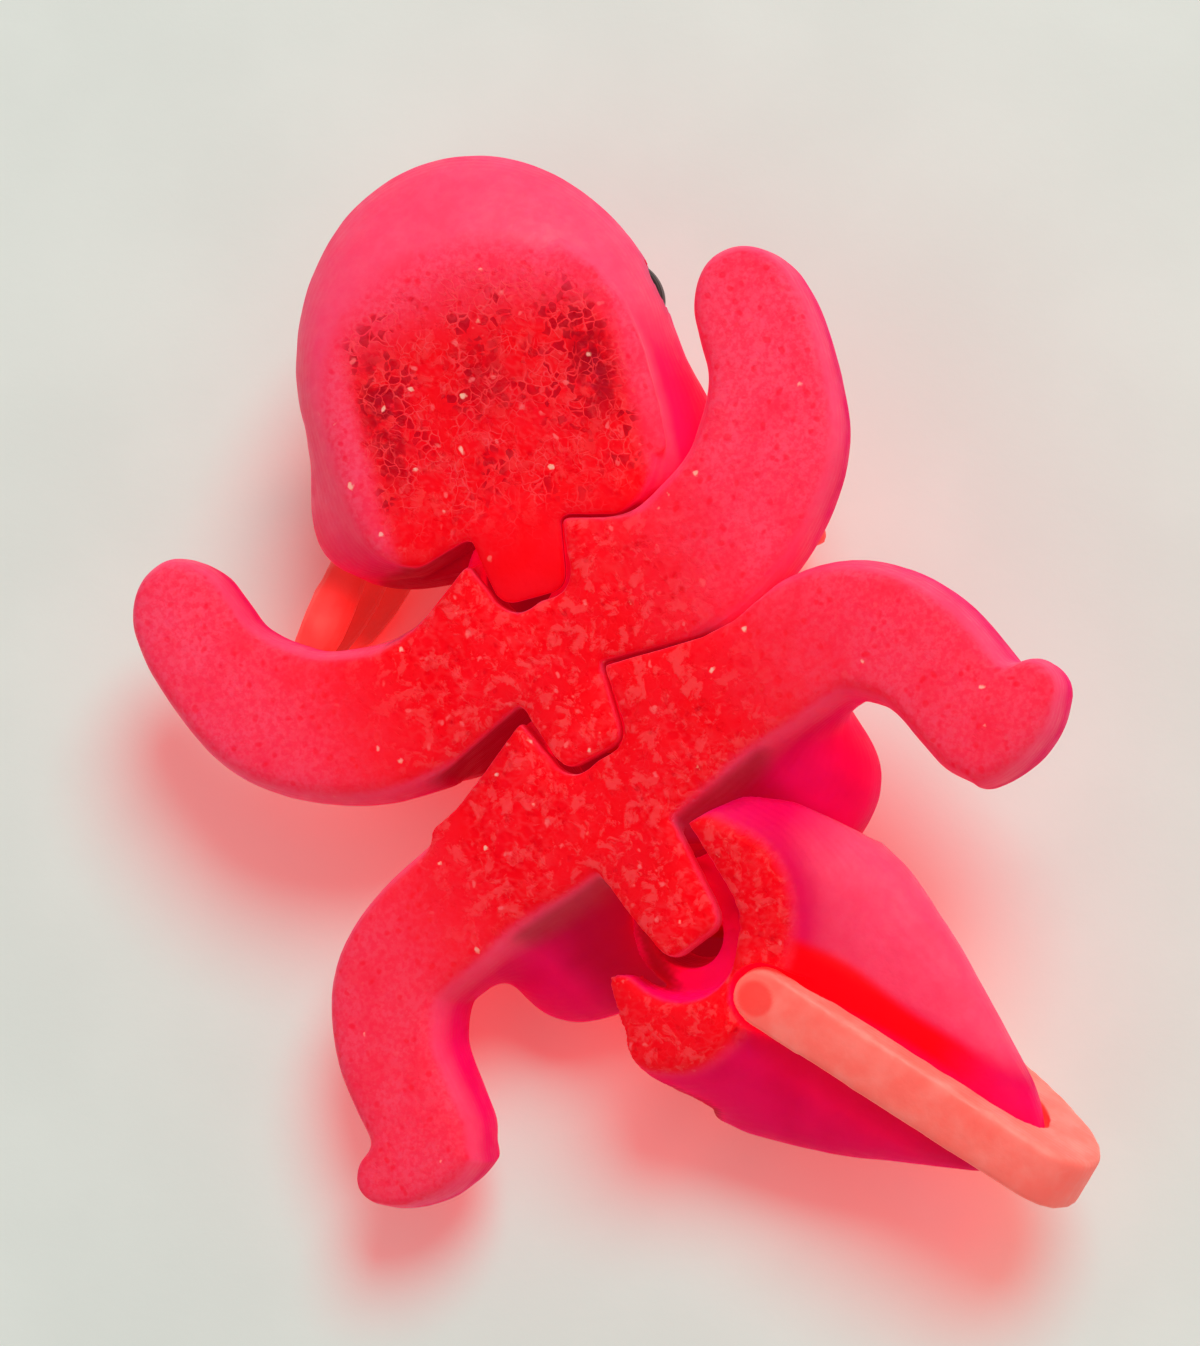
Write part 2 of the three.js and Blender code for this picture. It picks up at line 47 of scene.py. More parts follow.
# ---------------------------------------------------------------- dimensions, mm, as in the solids
NECK_TO_WAIST = 7.0
WAIST_TO_TAIL = 8.5
HEAD = dict(half=7.8, flat=5.9, nose=17.3, chin=11.9, back=1.0, lean=0.9, wide_y=8.2, wide_z=3.6, top=10.4)
FRONT = dict(half=8.8, flat=4.2, top=9.0, wide_z=4.6)
REAR = dict(half=9.0, flat=4.6, top=8.9, wide_z=5.0)
TAIL = dict(root=3.4, tip=-16.3, play=0.35, wall=-0.8, inset=4.4, most=28.0)
FIN = dict(thick=2.3, gap=0.2, start=-4.1, inlay=0.9)
GILL = dict(length=6.2, radius=0.95, seat=1.5, gap=0.25)
EYE = dict(radius=1.3, bulge=0.9, gap=0.18)
J = dict(prong=1.0, roof=4.8, eye0=1.6, eye1=4.2, eye_r=2.25, bore=1.5, pin=0.7, room=3.0, crack=0.2, dome=2.9, dome_gap=0.8)
NECK = dict(yaw=12.5, pitch=-6.0, roll=8.0, slip=(-0.45, 0.2))
WAIST = dict(yaw=8.5, pitch=-3.0, roll=6.5, slip=(-0.45, 0.25))
ROOT = dict(yaw=-22.5, pitch=-11.0, roll=-9.5, slip=(0.45, 0.25))
LIE = dict(x=-178.196, y=15.192, z=-145.388, at=(1.19268, -6.584208, 9.993382))
PLAY = (J["eye0"] + J["eye1"]) / 2
TURN = dict(neck=-20.0, waist=-10.0)
HEAD_EDGE = [(-5.2, 0.9), (-2.2, 1.7), (2.2, 1.7), (5.2, 0.9)]
FRONT_EDGE = [(-6.2, -2.4), (-1.9, -1.4), (1.9, -1.4), (6.2, -2.4)]
HEAD_SIDE = [(7.4, 0.9), (9.2, 2.4), (9.3, 12)]
FRONT_SIDE = [(7.6, -2.45), (9.4, -2.0), (11.0, -1.15), (12.8, 0.6), (15.0, 3.0), (15.6, 9)]

GILLS = (
    ("lower", (7.4, 3.0, 5.75), (0.64, -0.77, 0.0)),
    ("middle", (6.6, 2.8, 7.3), (0.74, -0.66, 0.14)),
    ("upper", (5.4, 3.0, 8.7), (0.76, -0.62, 0.25)),
)


# ---------------------------------------------------------------- where each segment lies
def turned(t):
    r = math.radians
    return Matrix.Rotation(r(t["yaw"]), 4, "Z") @ Matrix.Rotation(r(t["pitch"]), 4, "X") @ Matrix.Rotation(r(t["roll"]), 4, "Y")


def moved(x, y, z):
    return Matrix.Translation((x, y, z))


r_ = math.radians
AT = {}
AT["rear_body"] = moved(*LIE["at"]) @ Matrix.Rotation(r_(LIE["z"]), 4, "Z") @ Matrix.Rotation(r_(LIE["y"]), 4, "Y") @ Matrix.Rotation(r_(LIE["x"]), 4, "X")
AT["front_body"] = AT["rear_body"] @ moved(WAIST["slip"][0], WAIST_TO_TAIL / 2 + WAIST["slip"][1], PLAY) @ turned(WAIST) @ moved(0, NECK_TO_WAIST / 2, -PLAY)
AT["head"] = AT["front_body"] @ moved(NECK["slip"][0], NECK_TO_WAIST / 2 + NECK["slip"][1], PLAY) @ turned(NECK) @ moved(0, 0, -PLAY)
AT["tail"] = AT["rear_body"] @ moved(0, -WAIST_TO_TAIL / 2, PLAY) @ turned(ROOT) @ moved(ROOT["slip"][0], ROOT["slip"][1], -PLAY)


def in_metres(m):
    out = m.copy()
    out.translation = m.translation * MM
    return out


# ---------------------------------------------------------------- small maths
def power(t, n):
    return np.sign(t) * np.abs(t) ** n


def mix(a, b, t):
    return a + (b - a) * t


def smooth(t):
    c = np.clip(t, 0.0, 1.0)
    return c * c * (3 - 2 * c)


def eased(rows, s):
    s = np.asarray(s, float)
    out = np.full(s.shape, float(rows[0][1]))
    for (a, va), (b, vb) in zip(rows, rows[1:]):
        out = np.where(s > a, mix(va, vb, smooth((s - a) / (b - a))), out)
    return out


def straight(rows, s):
    return np.interp(s, [r[0] for r in rows], [r[1] for r in rows])


def smin(a, b, k):
    h = np.maximum(k - np.abs(a - b), 0.0) / k
    return np.minimum(a, b) - h * h * k * 0.25


def smax(a, b, k):
    return -smin(-a, -b, k)


# ---------------------------------------------------------------- seeded noise
def lattice(ix, iy, iz, seed):
    """A repeatable value from 0 to 1 for each lattice point."""
    with np.errstate(over="ignore"):
        n = (ix.astype(np.uint32) * np.uint32(374761393)) ^ (iy.astype(np.uint32) * np.uint32(668265263)) ^ (iz.astype(np.uint32) * np.uint32(2246822519)) ^ np.uint32((seed * 3266489917) & 0xFFFFFFFF)
        n = (n ^ (n >> np.uint32(15))) * np.uint32(2246822519)
        n = (n ^ (n >> np.uint32(13))) * np.uint32(3266489917)
        n = n ^ (n >> np.uint32(16))
    return n.astype(np.float64) / 4294967295.0


def noise3(x, y, z, seed):
    """Value noise from -1 to 1."""
    x, y, z = np.broadcast_arrays(x, y, z)
    x0, y0, z0 = np.floor(x), np.floor(y), np.floor(z)
    fx, fy, fz = x - x0, y - y0, z - z0
    fx, fy, fz = (f * f * f * (f * (f * 6 - 15) + 10) for f in (fx, fy, fz))
    ix, iy, iz = (q.astype(np.int64) for q in (x0, y0, z0))
    out = 0.0
    for dx in (0, 1):
        wx = fx if dx else 1 - fx
        for dy in (0, 1):
            wy = fy if dy else 1 - fy
            for dz in (0, 1):
                wz = fz if dz else 1 - fz
                out = out + wx * wy * wz * lattice(ix + dx, iy + dy, iz + dz, seed)
    return out * 2 - 1


def cells(x, y, size, seed):
    """Distances to the nearest and second nearest scattered points, in cells, and the nearest point's own value."""
    gx, gy = x / size, y / size
    ix, iy = np.floor(gx).astype(np.int64), np.floor(gy).astype(np.int64)
    zero = np.zeros_like(ix)
    f1 = np.full(gx.shape, 9.0)
    f2 = np.full(gx.shape, 9.0)
    val = np.zeros(gx.shape)
    for dx in (-1, 0, 1):
        for dy in (-1, 0, 1):
            jx, jy = ix + dx, iy + dy
            px = jx + 0.1 + 0.8 * lattice(jx, jy, zero, seed)
            py = jy + 0.1 + 0.8 * lattice(jx, jy, zero + 1, seed)
            d = np.hypot(gx - px, gy - py)
            near = d < f1
            f2 = np.where(near, f1, np.minimum(f2, d))
            val = np.where(near, lattice(jx, jy, zero + 2, seed), val)
            f1 = np.where(near, d, f1)
    return f1, f2, val


# ---------------------------------------------------------------- solids as distance fields
class Field:
    """A block of distances, mm, over one segment's own frame."""

    BAND = 10

    def __init__(self, lo, hi, step):
        self.h = step
        self.i0 = np.floor(np.array(lo) / step).astype(int) - 2
        self.n = np.ceil(np.array(hi) / step).astype(int) + 3 - self.i0
        ax = [(self.i0[k] + np.arange(self.n[k])) * step for k in range(3)]
        self.x = ax[0][:, None, None]
        self.y = ax[1][None, :, None]
        self.z = ax[2][None, None, :]

    def mesh(self, points, quads):
        grid = vdb.FloatGrid.createLevelSetFromPolygons(
            np.ascontiguousarray(points, np.float32),
            quads=np.ascontiguousarray(quads, np.uint32),
            transform=vdb.createLinearTransform(voxelSize=self.h),
            halfWidth=self.BAND,
        )
        out = np.full(self.n, self.BAND * self.h, np.float32)
        grid.copyToArray(out, ijk=tuple(int(i) for i in self.i0))
        return out

    def post(self, r, z0, z1, x=0.0, y=0.0):
        d = np.hypot(self.x - x, self.y - y) - r
        return np.maximum(np.maximum(d, z0 - self.z), self.z - z1)

    def slab(self, lo, hi):
        d = np.maximum(lo[0] - self.x, self.x - hi[0])
        d = np.maximum(d, np.maximum(lo[1] - self.y, self.y - hi[1]))
        return np.maximum(d, np.maximum(lo[2] - self.z, self.z - hi[2]))

    def egg(self, c, r):
        p = [(self.x - c[0]) / r[0], (self.y - c[1]) / r[1], (self.z - c[2]) / r[2]]
        k0 = np.sqrt(p[0] ** 2 + p[1] ** 2 + p[2] ** 2)
        k1 = np.sqrt((p[0] / r[0]) ** 2 + (p[1] / r[1]) ** 2 + (p[2] / r[2]) ** 2)
        return k0 * (k0 - 1) / np.maximum(k1, 1e-6)

    def outline(self, pts, z0, z1):
        """A straight-sided solid over an outline in x and y."""
        return np.maximum(np.maximum(polygon(pts, self.x[:, :, 0], self.y[:, :, 0])[:, :, None], z0 - self.z), self.z - z1)

    def thread(self, points, r):
        """A round thread through points."""
        d = np.full(self.n, 9.0, np.float32)
        for a, b in zip(points, points[1:]):
            a, b = np.array(a), np.array(b)
            e = b - a
            w = [self.x - a[0], self.y - a[1], self.z - a[2]]
            t = np.clip((w[0] * e[0] + w[1] * e[1] + w[2] * e[2]) / (e @ e), 0, 1)
            d = np.minimum(d, np.sqrt((w[0] - e[0] * t) ** 2 + (w[1] - e[1] * t) ** 2 + (w[2] - e[2] * t) ** 2) - r)
        return d

    def at(self, d, points):
        """The block's value nearest each point."""
        i = np.clip(np.rint(points / self.h).astype(int) - self.i0, 0, self.n - 1)
        return d[i[:, 0], i[:, 1], i[:, 2]]

    def surface(self, d):
        grid = vdb.FloatGrid(background=float(self.BAND * self.h))
        grid.copyFromArray(np.ascontiguousarray(np.clip(d, -self.BAND * self.h, self.BAND * self.h), np.float32), ijk=tuple(int(i) for i in self.i0))
        grid.transform = vdb.createLinearTransform(voxelSize=self.h)
        points, quads = grid.convertToQuads(0.0)
        return np.asarray(points, np.float64), np.asarray(quads, np.int64)


def polygon(pts, x, y):
    """Signed distance to a closed outline."""
    x, y = np.broadcast_arrays(x, y)
    pts = np.asarray(pts, float)
    d = np.full(x.shape, 1e9)
    inside = np.zeros(x.shape, bool)
    for (ax, ay), (bx, by) in zip(pts, np.roll(pts, -1, 0)):
        ex, ey = bx - ax, by - ay
        wx, wy = x - ax, y - ay
        t = np.clip((wx * ex + wy * ey) / max(ex * ex + ey * ey, 1e-12), 0, 1)
        d = np.minimum(d, (wx - ex * t) ** 2 + (wy - ey * t) ** 2)
        cross = (ay > y) != (by > y)
        with np.errstate(divide="ignore", invalid="ignore"):
            at = ax + (y - ay) * ex / (ey if ey else 1e-12)
        inside ^= cross & (x < at)
    d = np.sqrt(d)
    return np.where(inside, -d, d)


def loft(around, rings, at):
    """A closed skin from at(u, v), with a pole at each end of v."""
    u = np.arange(around) / around
    pts = np.concatenate([np.stack(np.broadcast_arrays(*at(u, j / rings)), -1) for j in range(rings + 1)])
    j, k = np.meshgrid(np.arange(rings), np.arange(around), indexing="ij")
    k1 = (k + 1) % around
    quads = np.stack([j * around + k, j * around + k1, (j + 1) * around + k1, (j + 1) * around + k], -1).reshape(-1, 4)
    return pts, quads


def curve(points):
    """A centripetal spline through points in x and y: place and direction by arc length."""
    p = np.array(points, float)
    p = np.vstack([2 * p[0] - p[1], p, 2 * p[-1] - p[-2]])
    out = []
    t = np.linspace(0, 1, 160, endpoint=False)[:, None]
    for i in range(1, len(p) - 2):
        d0, d1, d2 = (max(np.linalg.norm(p[i + k] - p[i + k - 1]), 1e-4) ** 0.5 for k in (0, 1, 2))
        t1 = ((p[i] - p[i - 1]) / d0 - (p[i + 1] - p[i - 1]) / (d0 + d1) + (p[i + 1] - p[i]) / d1) * d1
        t2 = ((p[i + 1] - p[i]) / d1 - (p[i + 2] - p[i]) / (d1 + d2) + (p[i + 2] - p[i + 1]) / d2) * d1
        out.append(p[i] + t1 * t + (-3 * p[i] + 3 * p[i + 1] - 2 * t1 - t2) * t**2 + (2 * p[i] - 2 * p[i + 1] + t1 + t2) * t**3)
    q = np.vstack(out + [p[-2:-1]])
    s = np.concatenate([[0], np.cumsum(np.linalg.norm(np.diff(q, axis=0), axis=1))])
    tangent = np.gradient(q, s, axis=0)
    return q, s, tangent / np.linalg.norm(tangent, axis=1)[:, None]


def limb(points, widths, heights, tip, rings=90, around=72):
    q, s, tan = curve(points)
    length = s[-1]

    def at(u, v):
        a = (v / 0.6) * (length - tip) if v < 0.6 else length - tip + tip * math.sin((v - 0.6) / 0.4 * math.pi / 2)
        c = [np.interp(a, s, q[:, i]) for i in (0, 1)]
        t = [np.interp(a, s, tan[:, i]) for i in (0, 1)]
        k = math.sqrt(max(0.0, 1 - ((a - length + tip) / tip) ** 2)) if a > length - tip else (0.0 if v == 0 else 1.0)
        ang = 2 * np.pi * u
        w = float(eased(widths, a / length)) * k
        h = float(eased(heights, a / length))
        raw = -0.45 + (h + 0.45) * (0.5 + 0.5 * power(np.sin(ang), 0.78))
        z = np.maximum(0, 1.25 + (raw - 1.25) * k)
        side = w * power(np.cos(ang), 0.72)
        return c[0] - t[1] * side, c[1] + t[0] * side, z

    return loft(around, rings, at)


def mirrored(points):
    return [(-x, y) for x, y in points]


# ---------------------------------------------------------------- joints
def prong_outline(y, base, g=0.0):
    def bow(a, b, c, n=6):
        t = np.linspace(0, 1, n)[:, None]
        return (1 - t) ** 2 * np.array(a) + 2 * t * (1 - t) * np.array(b) + t * t * np.array(c)

    left = bow((-1.5 - g, y - 0.35), (-1.4 - g, y - 1.1 - g), (-0.75, y - 1.15 - g))
    right = bow((0.75, y - 1.15 - g), (1.4 + g, y - 1.1 - g), (1.5 + g, y - 0.35))
    return np.vstack([[(-2.0 - g, base)], left, right, [(2.0 + g, base)]])


def edged(f, d, edge):
    """The belly's edge either side of a prong, cut back."""
    a, b = edge[0], edge[-1]
    return smax(d, -f.outline(edge + [(b[0], b[1] - 5), (a[0], a[1] - 5)], -1, 4.4), 0.15)


def swung(f, at, turn, offset, least, y, edge, side):
    """What the prong, and the outline behind the edge, of the segment in front pass through while the joint turns."""
    gap = J["crack"] - 0.05
    right = [(u, v - gap) for u, v in edge[2:]] + [(u + gap, v - gap) for u, v in side]
    wide = right + mirrored(right)[::-1]
    slim = prong_outline(y, y + 4.5, J["crack"])
    slot, body = np.full(f.n, 9.0, np.float32), np.full(f.n, 9.0, np.float32)
    ax = [f.x[:, 0, 0], f.y[0, :, 0], f.z[0, 0, :]]
    part = [np.nonzero((v > lo) & (v < hi))[0] for v, lo, hi in zip(ax, (-17, at - 4.5, -9), (17, at + 4.0, 12))]
    cut = tuple(slice(i[0], i[-1] + 1) for i in part)
    pts = np.stack(np.meshgrid(*(v[i] for v, i in zip(ax, part)), indexing="ij"), -1)
    for k in np.linspace(0, 1, 7):
        m = moved(turn["slip"][0], at + turn["slip"][1], PLAY) @ turned(turn) @ Matrix.Rotation(math.radians((least - 0.8) * k), 4, "Z") @ moved(0, offset, -PLAY)
        m = np.array(m.inverted())
        q = pts @ m[:3, :3].T + m[:3, 3]
        X, Y, Z = q[..., 0], q[..., 1], q[..., 2]
        slot[cut] = np.minimum(slot[cut], np.maximum(table(slim, X, Y), Z - J["eye0"]))
        body[cut] = np.minimum(body[cut], table(wide, X, Y))
    return slot, body


def domed(f, y, extra, top):
    r = J["dome"] + extra
    return np.maximum(f.egg((0, y, J["roof"]), (r, r, top - J["roof"] + extra)), J["roof"] - extra - f.z)


def with_clevis(f, d, y, base, top):
    d = smin(d, f.outline(prong_outline(y, base), 0.0, J["prong"]), 0.3)
    d = smin(d, domed(f, y, 0, top), 0.8)
    return smax(d, -f.post(J["room"], J["prong"], J["roof"], 0, y), 0.2)


def with_tongue(f, d, y, top, notch, thin=0.0):
    z0, z1 = J["eye0"] + thin, J["eye1"] - thin
    d = smax(d, -f.post(J["room"], z1, J["roof"] + 0.02, 0, y), 0.2)
    d = smax(d, -notch, 0.15)
    d = smax(d, -domed(f, y, J["dome_gap"], top), 0.3)
    tongue = np.minimum(f.post(J["eye_r"], z0, z1, 0, y), f.slab((-1.5, y - 3.4, z0), (1.5, y - 1.0, z1)))
    d = smin(d, tongue, 0.2)
    return smax(d, -f.post(J["bore"], z0 - 0.5, z1 + 0.5, 0, y), 0.15)


# ---------------------------------------------------------------- trunks, limbs, head, tail
def trunk(T, y0, y1, inset):
    cut = math.pi / 2 - 0.3

    def at(u, v):
        a = 2 * np.pi * u
        if v < 0.5:
            g = (1 - v / 0.5) * (math.pi / 2)
            k = float(power(math.cos(g), 0.85)) if v > 0 else 0.0
            half = T["half"] * k
            z = T["wide_z"] + (T["top"] - T["wide_z"]) * float(power(math.sin(g), 0.9))
        elif v < 0.86:
            b = ((v - 0.5) / 0.36) * cut
            e = (1 - math.cos(b)) / (1 - math.cos(cut))
            half, k = mix(T["half"], T["flat"], e), 1.0
            z = T["wide_z"] * (1 - math.sin(b) / math.sin(cut))
        else:
            k = 1 - (v - 0.86) / 0.14
            half, z = T["flat"] * k, 0.0
        long = k**0.45 if v < 0.5 else 1.0
        back = y0 + inset * (1 - float(smooth(z / 5.0)))
        yc = (back + y1) / 2
        reach = (y1 - back) / 2 * (long if v < 0.86 else k)
        return half * power(np.cos(a), 0.65), yc + reach * power(np.sin(a), 0.6), z + 0 * a

    return loft(160, 150, at)


def head_skin():
    H = HEAD

    def at(u, v):
        a = 2 * np.pi * u
        c, s = np.cos(a), np.sin(a)
        cut = math.pi / 2 - 0.35
        if v < 0.58:
            g = (1 - v / 0.58) * (math.pi / 2)
            k = float(power(math.cos(g), 0.86)) if v > 0 else 0.0
            z = H["wide_z"] + (H["top"] - H["wide_z"]) * float(power(math.sin(g), 0.9))
            rear = H["back"] - H["lean"] * float(smooth((z - H["wide_z"]) / 3.5))
            half, nose, back = H["half"] * k, mix(7.4, H["nose"], k), mix(7.4, rear, k**0.7)
        elif v < 0.9:
            b = ((v - 0.58) / 0.32) * cut
            e = (1 - math.cos(b)) / (1 - math.cos(cut))
            half, nose, back = mix(H["half"], H["flat"], e), mix(H["nose"], H["chin"], e), H["back"]
            z = H["wide_z"] * (1 - math.sin(b) / math.sin(cut))
        else:
            k = 1 - (v - 0.9) / 0.1
            half, nose, back, z = H["flat"] * k, mix(6.5, H["chin"], k), mix(6.5, H["back"], k), 0.0
        yc = min(H["wide_y"], mix(back, nose, 0.52))
        x = half * np.where(s > 0, c, power(c, 0.42))
        y = yc + np.where(s > 0, (nose - yc) * s, (yc - back) * power(s, 0.5))
        flare = np.where(s < 0, 1 + 0.16 * smooth((yc - y) / 6) * smooth((z - 0.6) / 3), 1.0)
        return x * flare, y, z + 0 * a

    return loft(180, 160, at)


TAIL_HALF = [(-3.4, 5.6), (-1.5, 6.9), (1.5, 7.1), (6, 6.5), (9.5, 5.0), (13.2, 2.9), (16.3, 1.1)]


def tail_skin(extra):
    T = TAIL

    def at(u, v):
        a = 2 * np.pi * u
        y = mix(T["root"] + extra, T["tip"] - extra, v)
        f = min(1.0, max(0.0, (T["root"] - y) / (T["root"] - T["tip"])))
        end = (v / 0.06) ** 0.4 if v < 0.06 else (math.sqrt(max(0.0, 1 - ((v - 0.9) / 0.1) ** 2)) if v > 0.9 else 1.0)
        half = (float(eased_half(-y)) + extra) * end
        low = mix(-1.6, 1.4, float(smooth((-y - 0.4) / 6.6))) - extra
        high = mix(8.7, 4.0, f * f * 0.4 + f * 0.6) + extra
        mid = mix(4.6, 2.4, f)
        sn = np.sin(a)
        z = mid + np.where(sn > 0, high - mid, mid - low) * power(sn, 0.95) * end
        return half * power(np.cos(a), 0.9), y + 0 * a, np.maximum(-0.2 if extra > 0 else 0.0, z)

    return loft(160, 150, at)


_hs = np.linspace(-3.6, 16.6, 200)
_hv = straight(TAIL_HALF, _hs)
for _ in range(30):  # the half-widths, without the corners between their rows
    _hv[1:-1] = 0.25 * _hv[:-2] + 0.5 * _hv[1:-1] + 0.25 * _hv[2:]


def eased_half(s):
    return np.interp(s, _hs, _hv)


# ---------------------------------------------------------------- the print's own marks
def bed_grain(x, y, size, seed):
    """How deep the bed's grain is pressed in, 0 to 1: uneven cells with thin ridges between them, and patches where it is smeared shallow."""
    zero = 0 * x
    wx = x + 0.2 * noise3(x / 0.6, y / 0.6, zero, seed + 5) + 0.06 * noise3(x / 0.2, y / 0.2, zero, seed + 6)
    wy = y + 0.2 * noise3(x / 0.6, y / 0.6, zero, seed + 7) + 0.06 * noise3(x / 0.2, y / 0.2, zero, seed + 8)
    f1, f2, val = cells(wx, wy, size, seed)
    g1, g2, wal = cells(wx, wy, size * 0.57, seed + 1)
    pit = 0.72 * smooth((f2 - f1) / 0.5) * (0.2 + 0.8 * val) + 0.28 * smooth((g2 - g1) / 0.5) * wal
    patch = smooth(0.5 + 0.8 * noise3(x / 2.2, y / 2.2, zero, seed + 9) + 0.45 * noise3(x / 0.8, y / 0.8, zero, seed + 11))
    return pit * mix(0.3, 1.0, patch), patch


class Belly:
    """Where a segment's flat underside is rough, red and dark, over its own x and y."""

    def __init__(self, seed, size, depth, rough, red, dark, deep, pale, crackle=0.12):
        self.seed, self.size, self.depth = seed, size, depth
        self.rough, self.red, self.dark = rough, red, dark
        self.deep, self.pale, self.crackle = deep, pale, crackle

    def pit(self, x, y):
        return bed_grain(x, y, self.size, self.seed)

    def dent(self, x, y):
        pit, _ = self.pit(x, y)
        fine, _ = bed_grain(x, y, 0.27, self.seed + 40)
        rough = self.rough(x, y)
        low = noise3(x / 1.5, y / 1.5, 0 * x, self.seed + 21)
        return self.depth * (rough * pit * (1 + 0.8 * self.dark(x, y)) + (1 - rough) * 0.25 * fine) + (0.05 + 0.03 * (low + 1)) * rough

    def marks(self, points, deep=None):
        """Numbers that the material reads at each point of the skin."""
        x, y, z = points.T
        pit, patch = self.pit(x, y)
        flat = 1 - smooth((z - 0.16) / 0.42)
        rough = self.rough(x, y)
        deep = self.deep(x, y, z) if deep is None else deep
        return dict(deep=deep, pale=self.pale(x, y, z), flat=flat, rough=rough * flat, pit=pit * rough * flat, ridge=(1 - smooth(pit / 0.3)) * rough * flat, red=self.red(x, y) * flat, dark=self.dark(x, y) * flat, patch=patch, crackle=self.crackle * rough * flat)


def spot(x, y, cx, cy, rx, ry):
    return 1 - smooth(np.hypot((x - cx) / rx, (y - cy) / ry))


def within(v, half, soft=1.2):
    return 1 - smooth((np.abs(v) - half) / soft)


def inside_joint(x, y, z, pin):
    """In the room round a pin, above the tongue's face."""
    return within(np.hypot(x, y - pin), 2.7, 0.5) * smooth((z - 1.75) / 0.4)


def facing(y, wall, ahead):
    """On the wall that a segment turns to its neighbour."""
    return smooth(((y - wall) if ahead else (wall - y)) / 0.5 + 1)


def gap_wall_shade(p, room):
    """Painted shade on a wall that the neighbour swings past; the tongue's face in the notch gets less of it."""
    z = p[:, 2]
    face = np.exp(-(((z - J["eye0"]) / 0.3) ** 2))
    return (1 - smooth((np.abs(room) - 0.05) / 0.3)) * smooth((z - 0.2) / 0.6) * (1 - 0.8 * face)


NECK_Y, WAIST_Y = NECK_TO_WAIST / 2, -NECK_TO_WAIST / 2
HIP_Y, ROOT_Y = WAIST_TO_TAIL / 2, -WAIST_TO_TAIL / 2


def edge_y(edge, x):
    return np.interp(np.abs(x), [edge[2][0], edge[3][0]], [edge[2][1], edge[3][1]])


# Painted shade on the head: in the pin's room, at the rear corners and on the rear wall that faces the front body.
def head_deep(x, y, z):
    corner = 0.7 * (1 - smooth((y - 0.7) / 1.5)) * smooth((np.abs(x) - 3.0) / 1.5) * smooth((z - 0.3) / 0.8)
    wall = facing(y, edge_y(HEAD_EDGE, x) + 0.25, False) * smooth((z - 0.2) / 0.6) * within(x, 6.4)
    return np.maximum(np.maximum(inside_joint(x, y, z, 0.0), corner), wall)


# Painted shade on the front body: on the wall facing the head and in the rooms round both pins.
def front_deep(x, y, z):
    wall = facing(y, edge_y(FRONT_EDGE, x) + 0.25, False) * smooth((z - 0.2) / 0.6) * within(x, 5.8, 1.6)
    return np.maximum(wall, np.maximum(inside_joint(x, y, z, NECK_Y), inside_joint(x, y, z, WAIST_Y)))


# Painted shade on the rear body: on the wall facing the tail and in the rooms round both pins.
def rear_deep(x, y, z):
    back = ROOT_Y + TAIL["wall"] + TAIL["inset"] * (1 - smooth(z / 5.0))
    wall = 0.75 * facing(y, back + 0.1, False) * within(x, 6.0) * smooth((z - 0.2) / 0.6)
    return np.maximum(wall, np.maximum(inside_joint(x, y, z, HIP_Y), inside_joint(x, y, z, ROOT_Y)))


def nowhere(*at):
    return 0 * at[0]


def edge_pale(x, y, z):
    """The rounded edge round a belly is nearly as light as the sole."""
    return 0.85 * (1 - smooth((z - 0.6) / 1.2))


RIDGE = [(-5.75, 1.3), (-6.4, 2.7), (-6.55, 5.0), (-6.5, 7.2), (-6.2, 9.2), (-5.5, 10.8), (-4.5, 11.9)]


def head_pale(x, y, z):
    line = np.interp(y, [v for _, v in RIDGE], [u for u, _ in RIDGE])
    rim = (1 - smooth((z - 1.6) / 3.0)) * smooth((y - 0.8) / 3.0)
    bare = smooth((line - 0.3 - x) / 0.4) * (1 - smooth((y - 6.4) / 3.2))
    crest = np.exp(-(((x - line) / 0.28) ** 2)) * (1 - smooth((z - 0.7) / 0.6)) * smooth((y - 0.9) / 1.2) * (1 - smooth((y - 11.4) / 1.2))
    return np.maximum(rim * (1 - 0.94 * bare), crest)


HEAD_BELLY = Belly(
    5,
    0.42,
    0.16,
    lambda x, y: smooth((13.0 - y - 0.055 * x * x) / 1.7) * smooth((y - 0.2) / 4.2) * (1 - smooth((np.abs(x + 0.4) - 5.1) / 0.8)),
    lambda x, y: smooth((12.8 - y - 0.045 * x * x) / 3.6) * (1 - smooth((np.abs(x + 0.4) - 4.9) / 1.0)),
    lambda x, y: np.maximum(np.maximum(spot(x, y, 4.0, 7.4, 1.3, 4.2), spot(x, y, -4.7, 7.2, 1.4, 3.4)), 0.5 * spot(x, y, -0.3, 8.0, 2.0, 2.8)),
    head_deep,
    head_pale,
    1.0,
)
FRONT_BELLY = Belly(3, 0.5, 0.13, lambda x, y: 1 - 0.8 * smooth((np.abs(x) - 4.0) / 5.0), lambda x, y: 1 - smooth((np.abs(x) - np.where(x > 0, 5.2, 3.0)) / 8.5), nowhere, front_deep, edge_pale)
REAR_BELLY = Belly(4, 0.5, 0.13, lambda x, y: 1 - 0.8 * smooth((np.abs(x) - 5.0) / 5.0), lambda x, y: 1 - 0.8 * smooth((np.abs(x) - 5.0) / 8.5), nowhere, rear_deep, edge_pale)
# On the tail the pale mark is a painted highlight: the flank on the lamp's side is made lighter.
TAIL_BELLY = Belly(6, 0.46, 0.13, lambda x, y: 1 + 0 * x, lambda x, y: 1 + 0 * x, nowhere, nowhere, lambda x, y, z: 0.9 * smooth((-x - 2.0) / 0.9) * smooth((z - 0.4) / 1.0) * smooth((-y - 1.0) / 3.0))


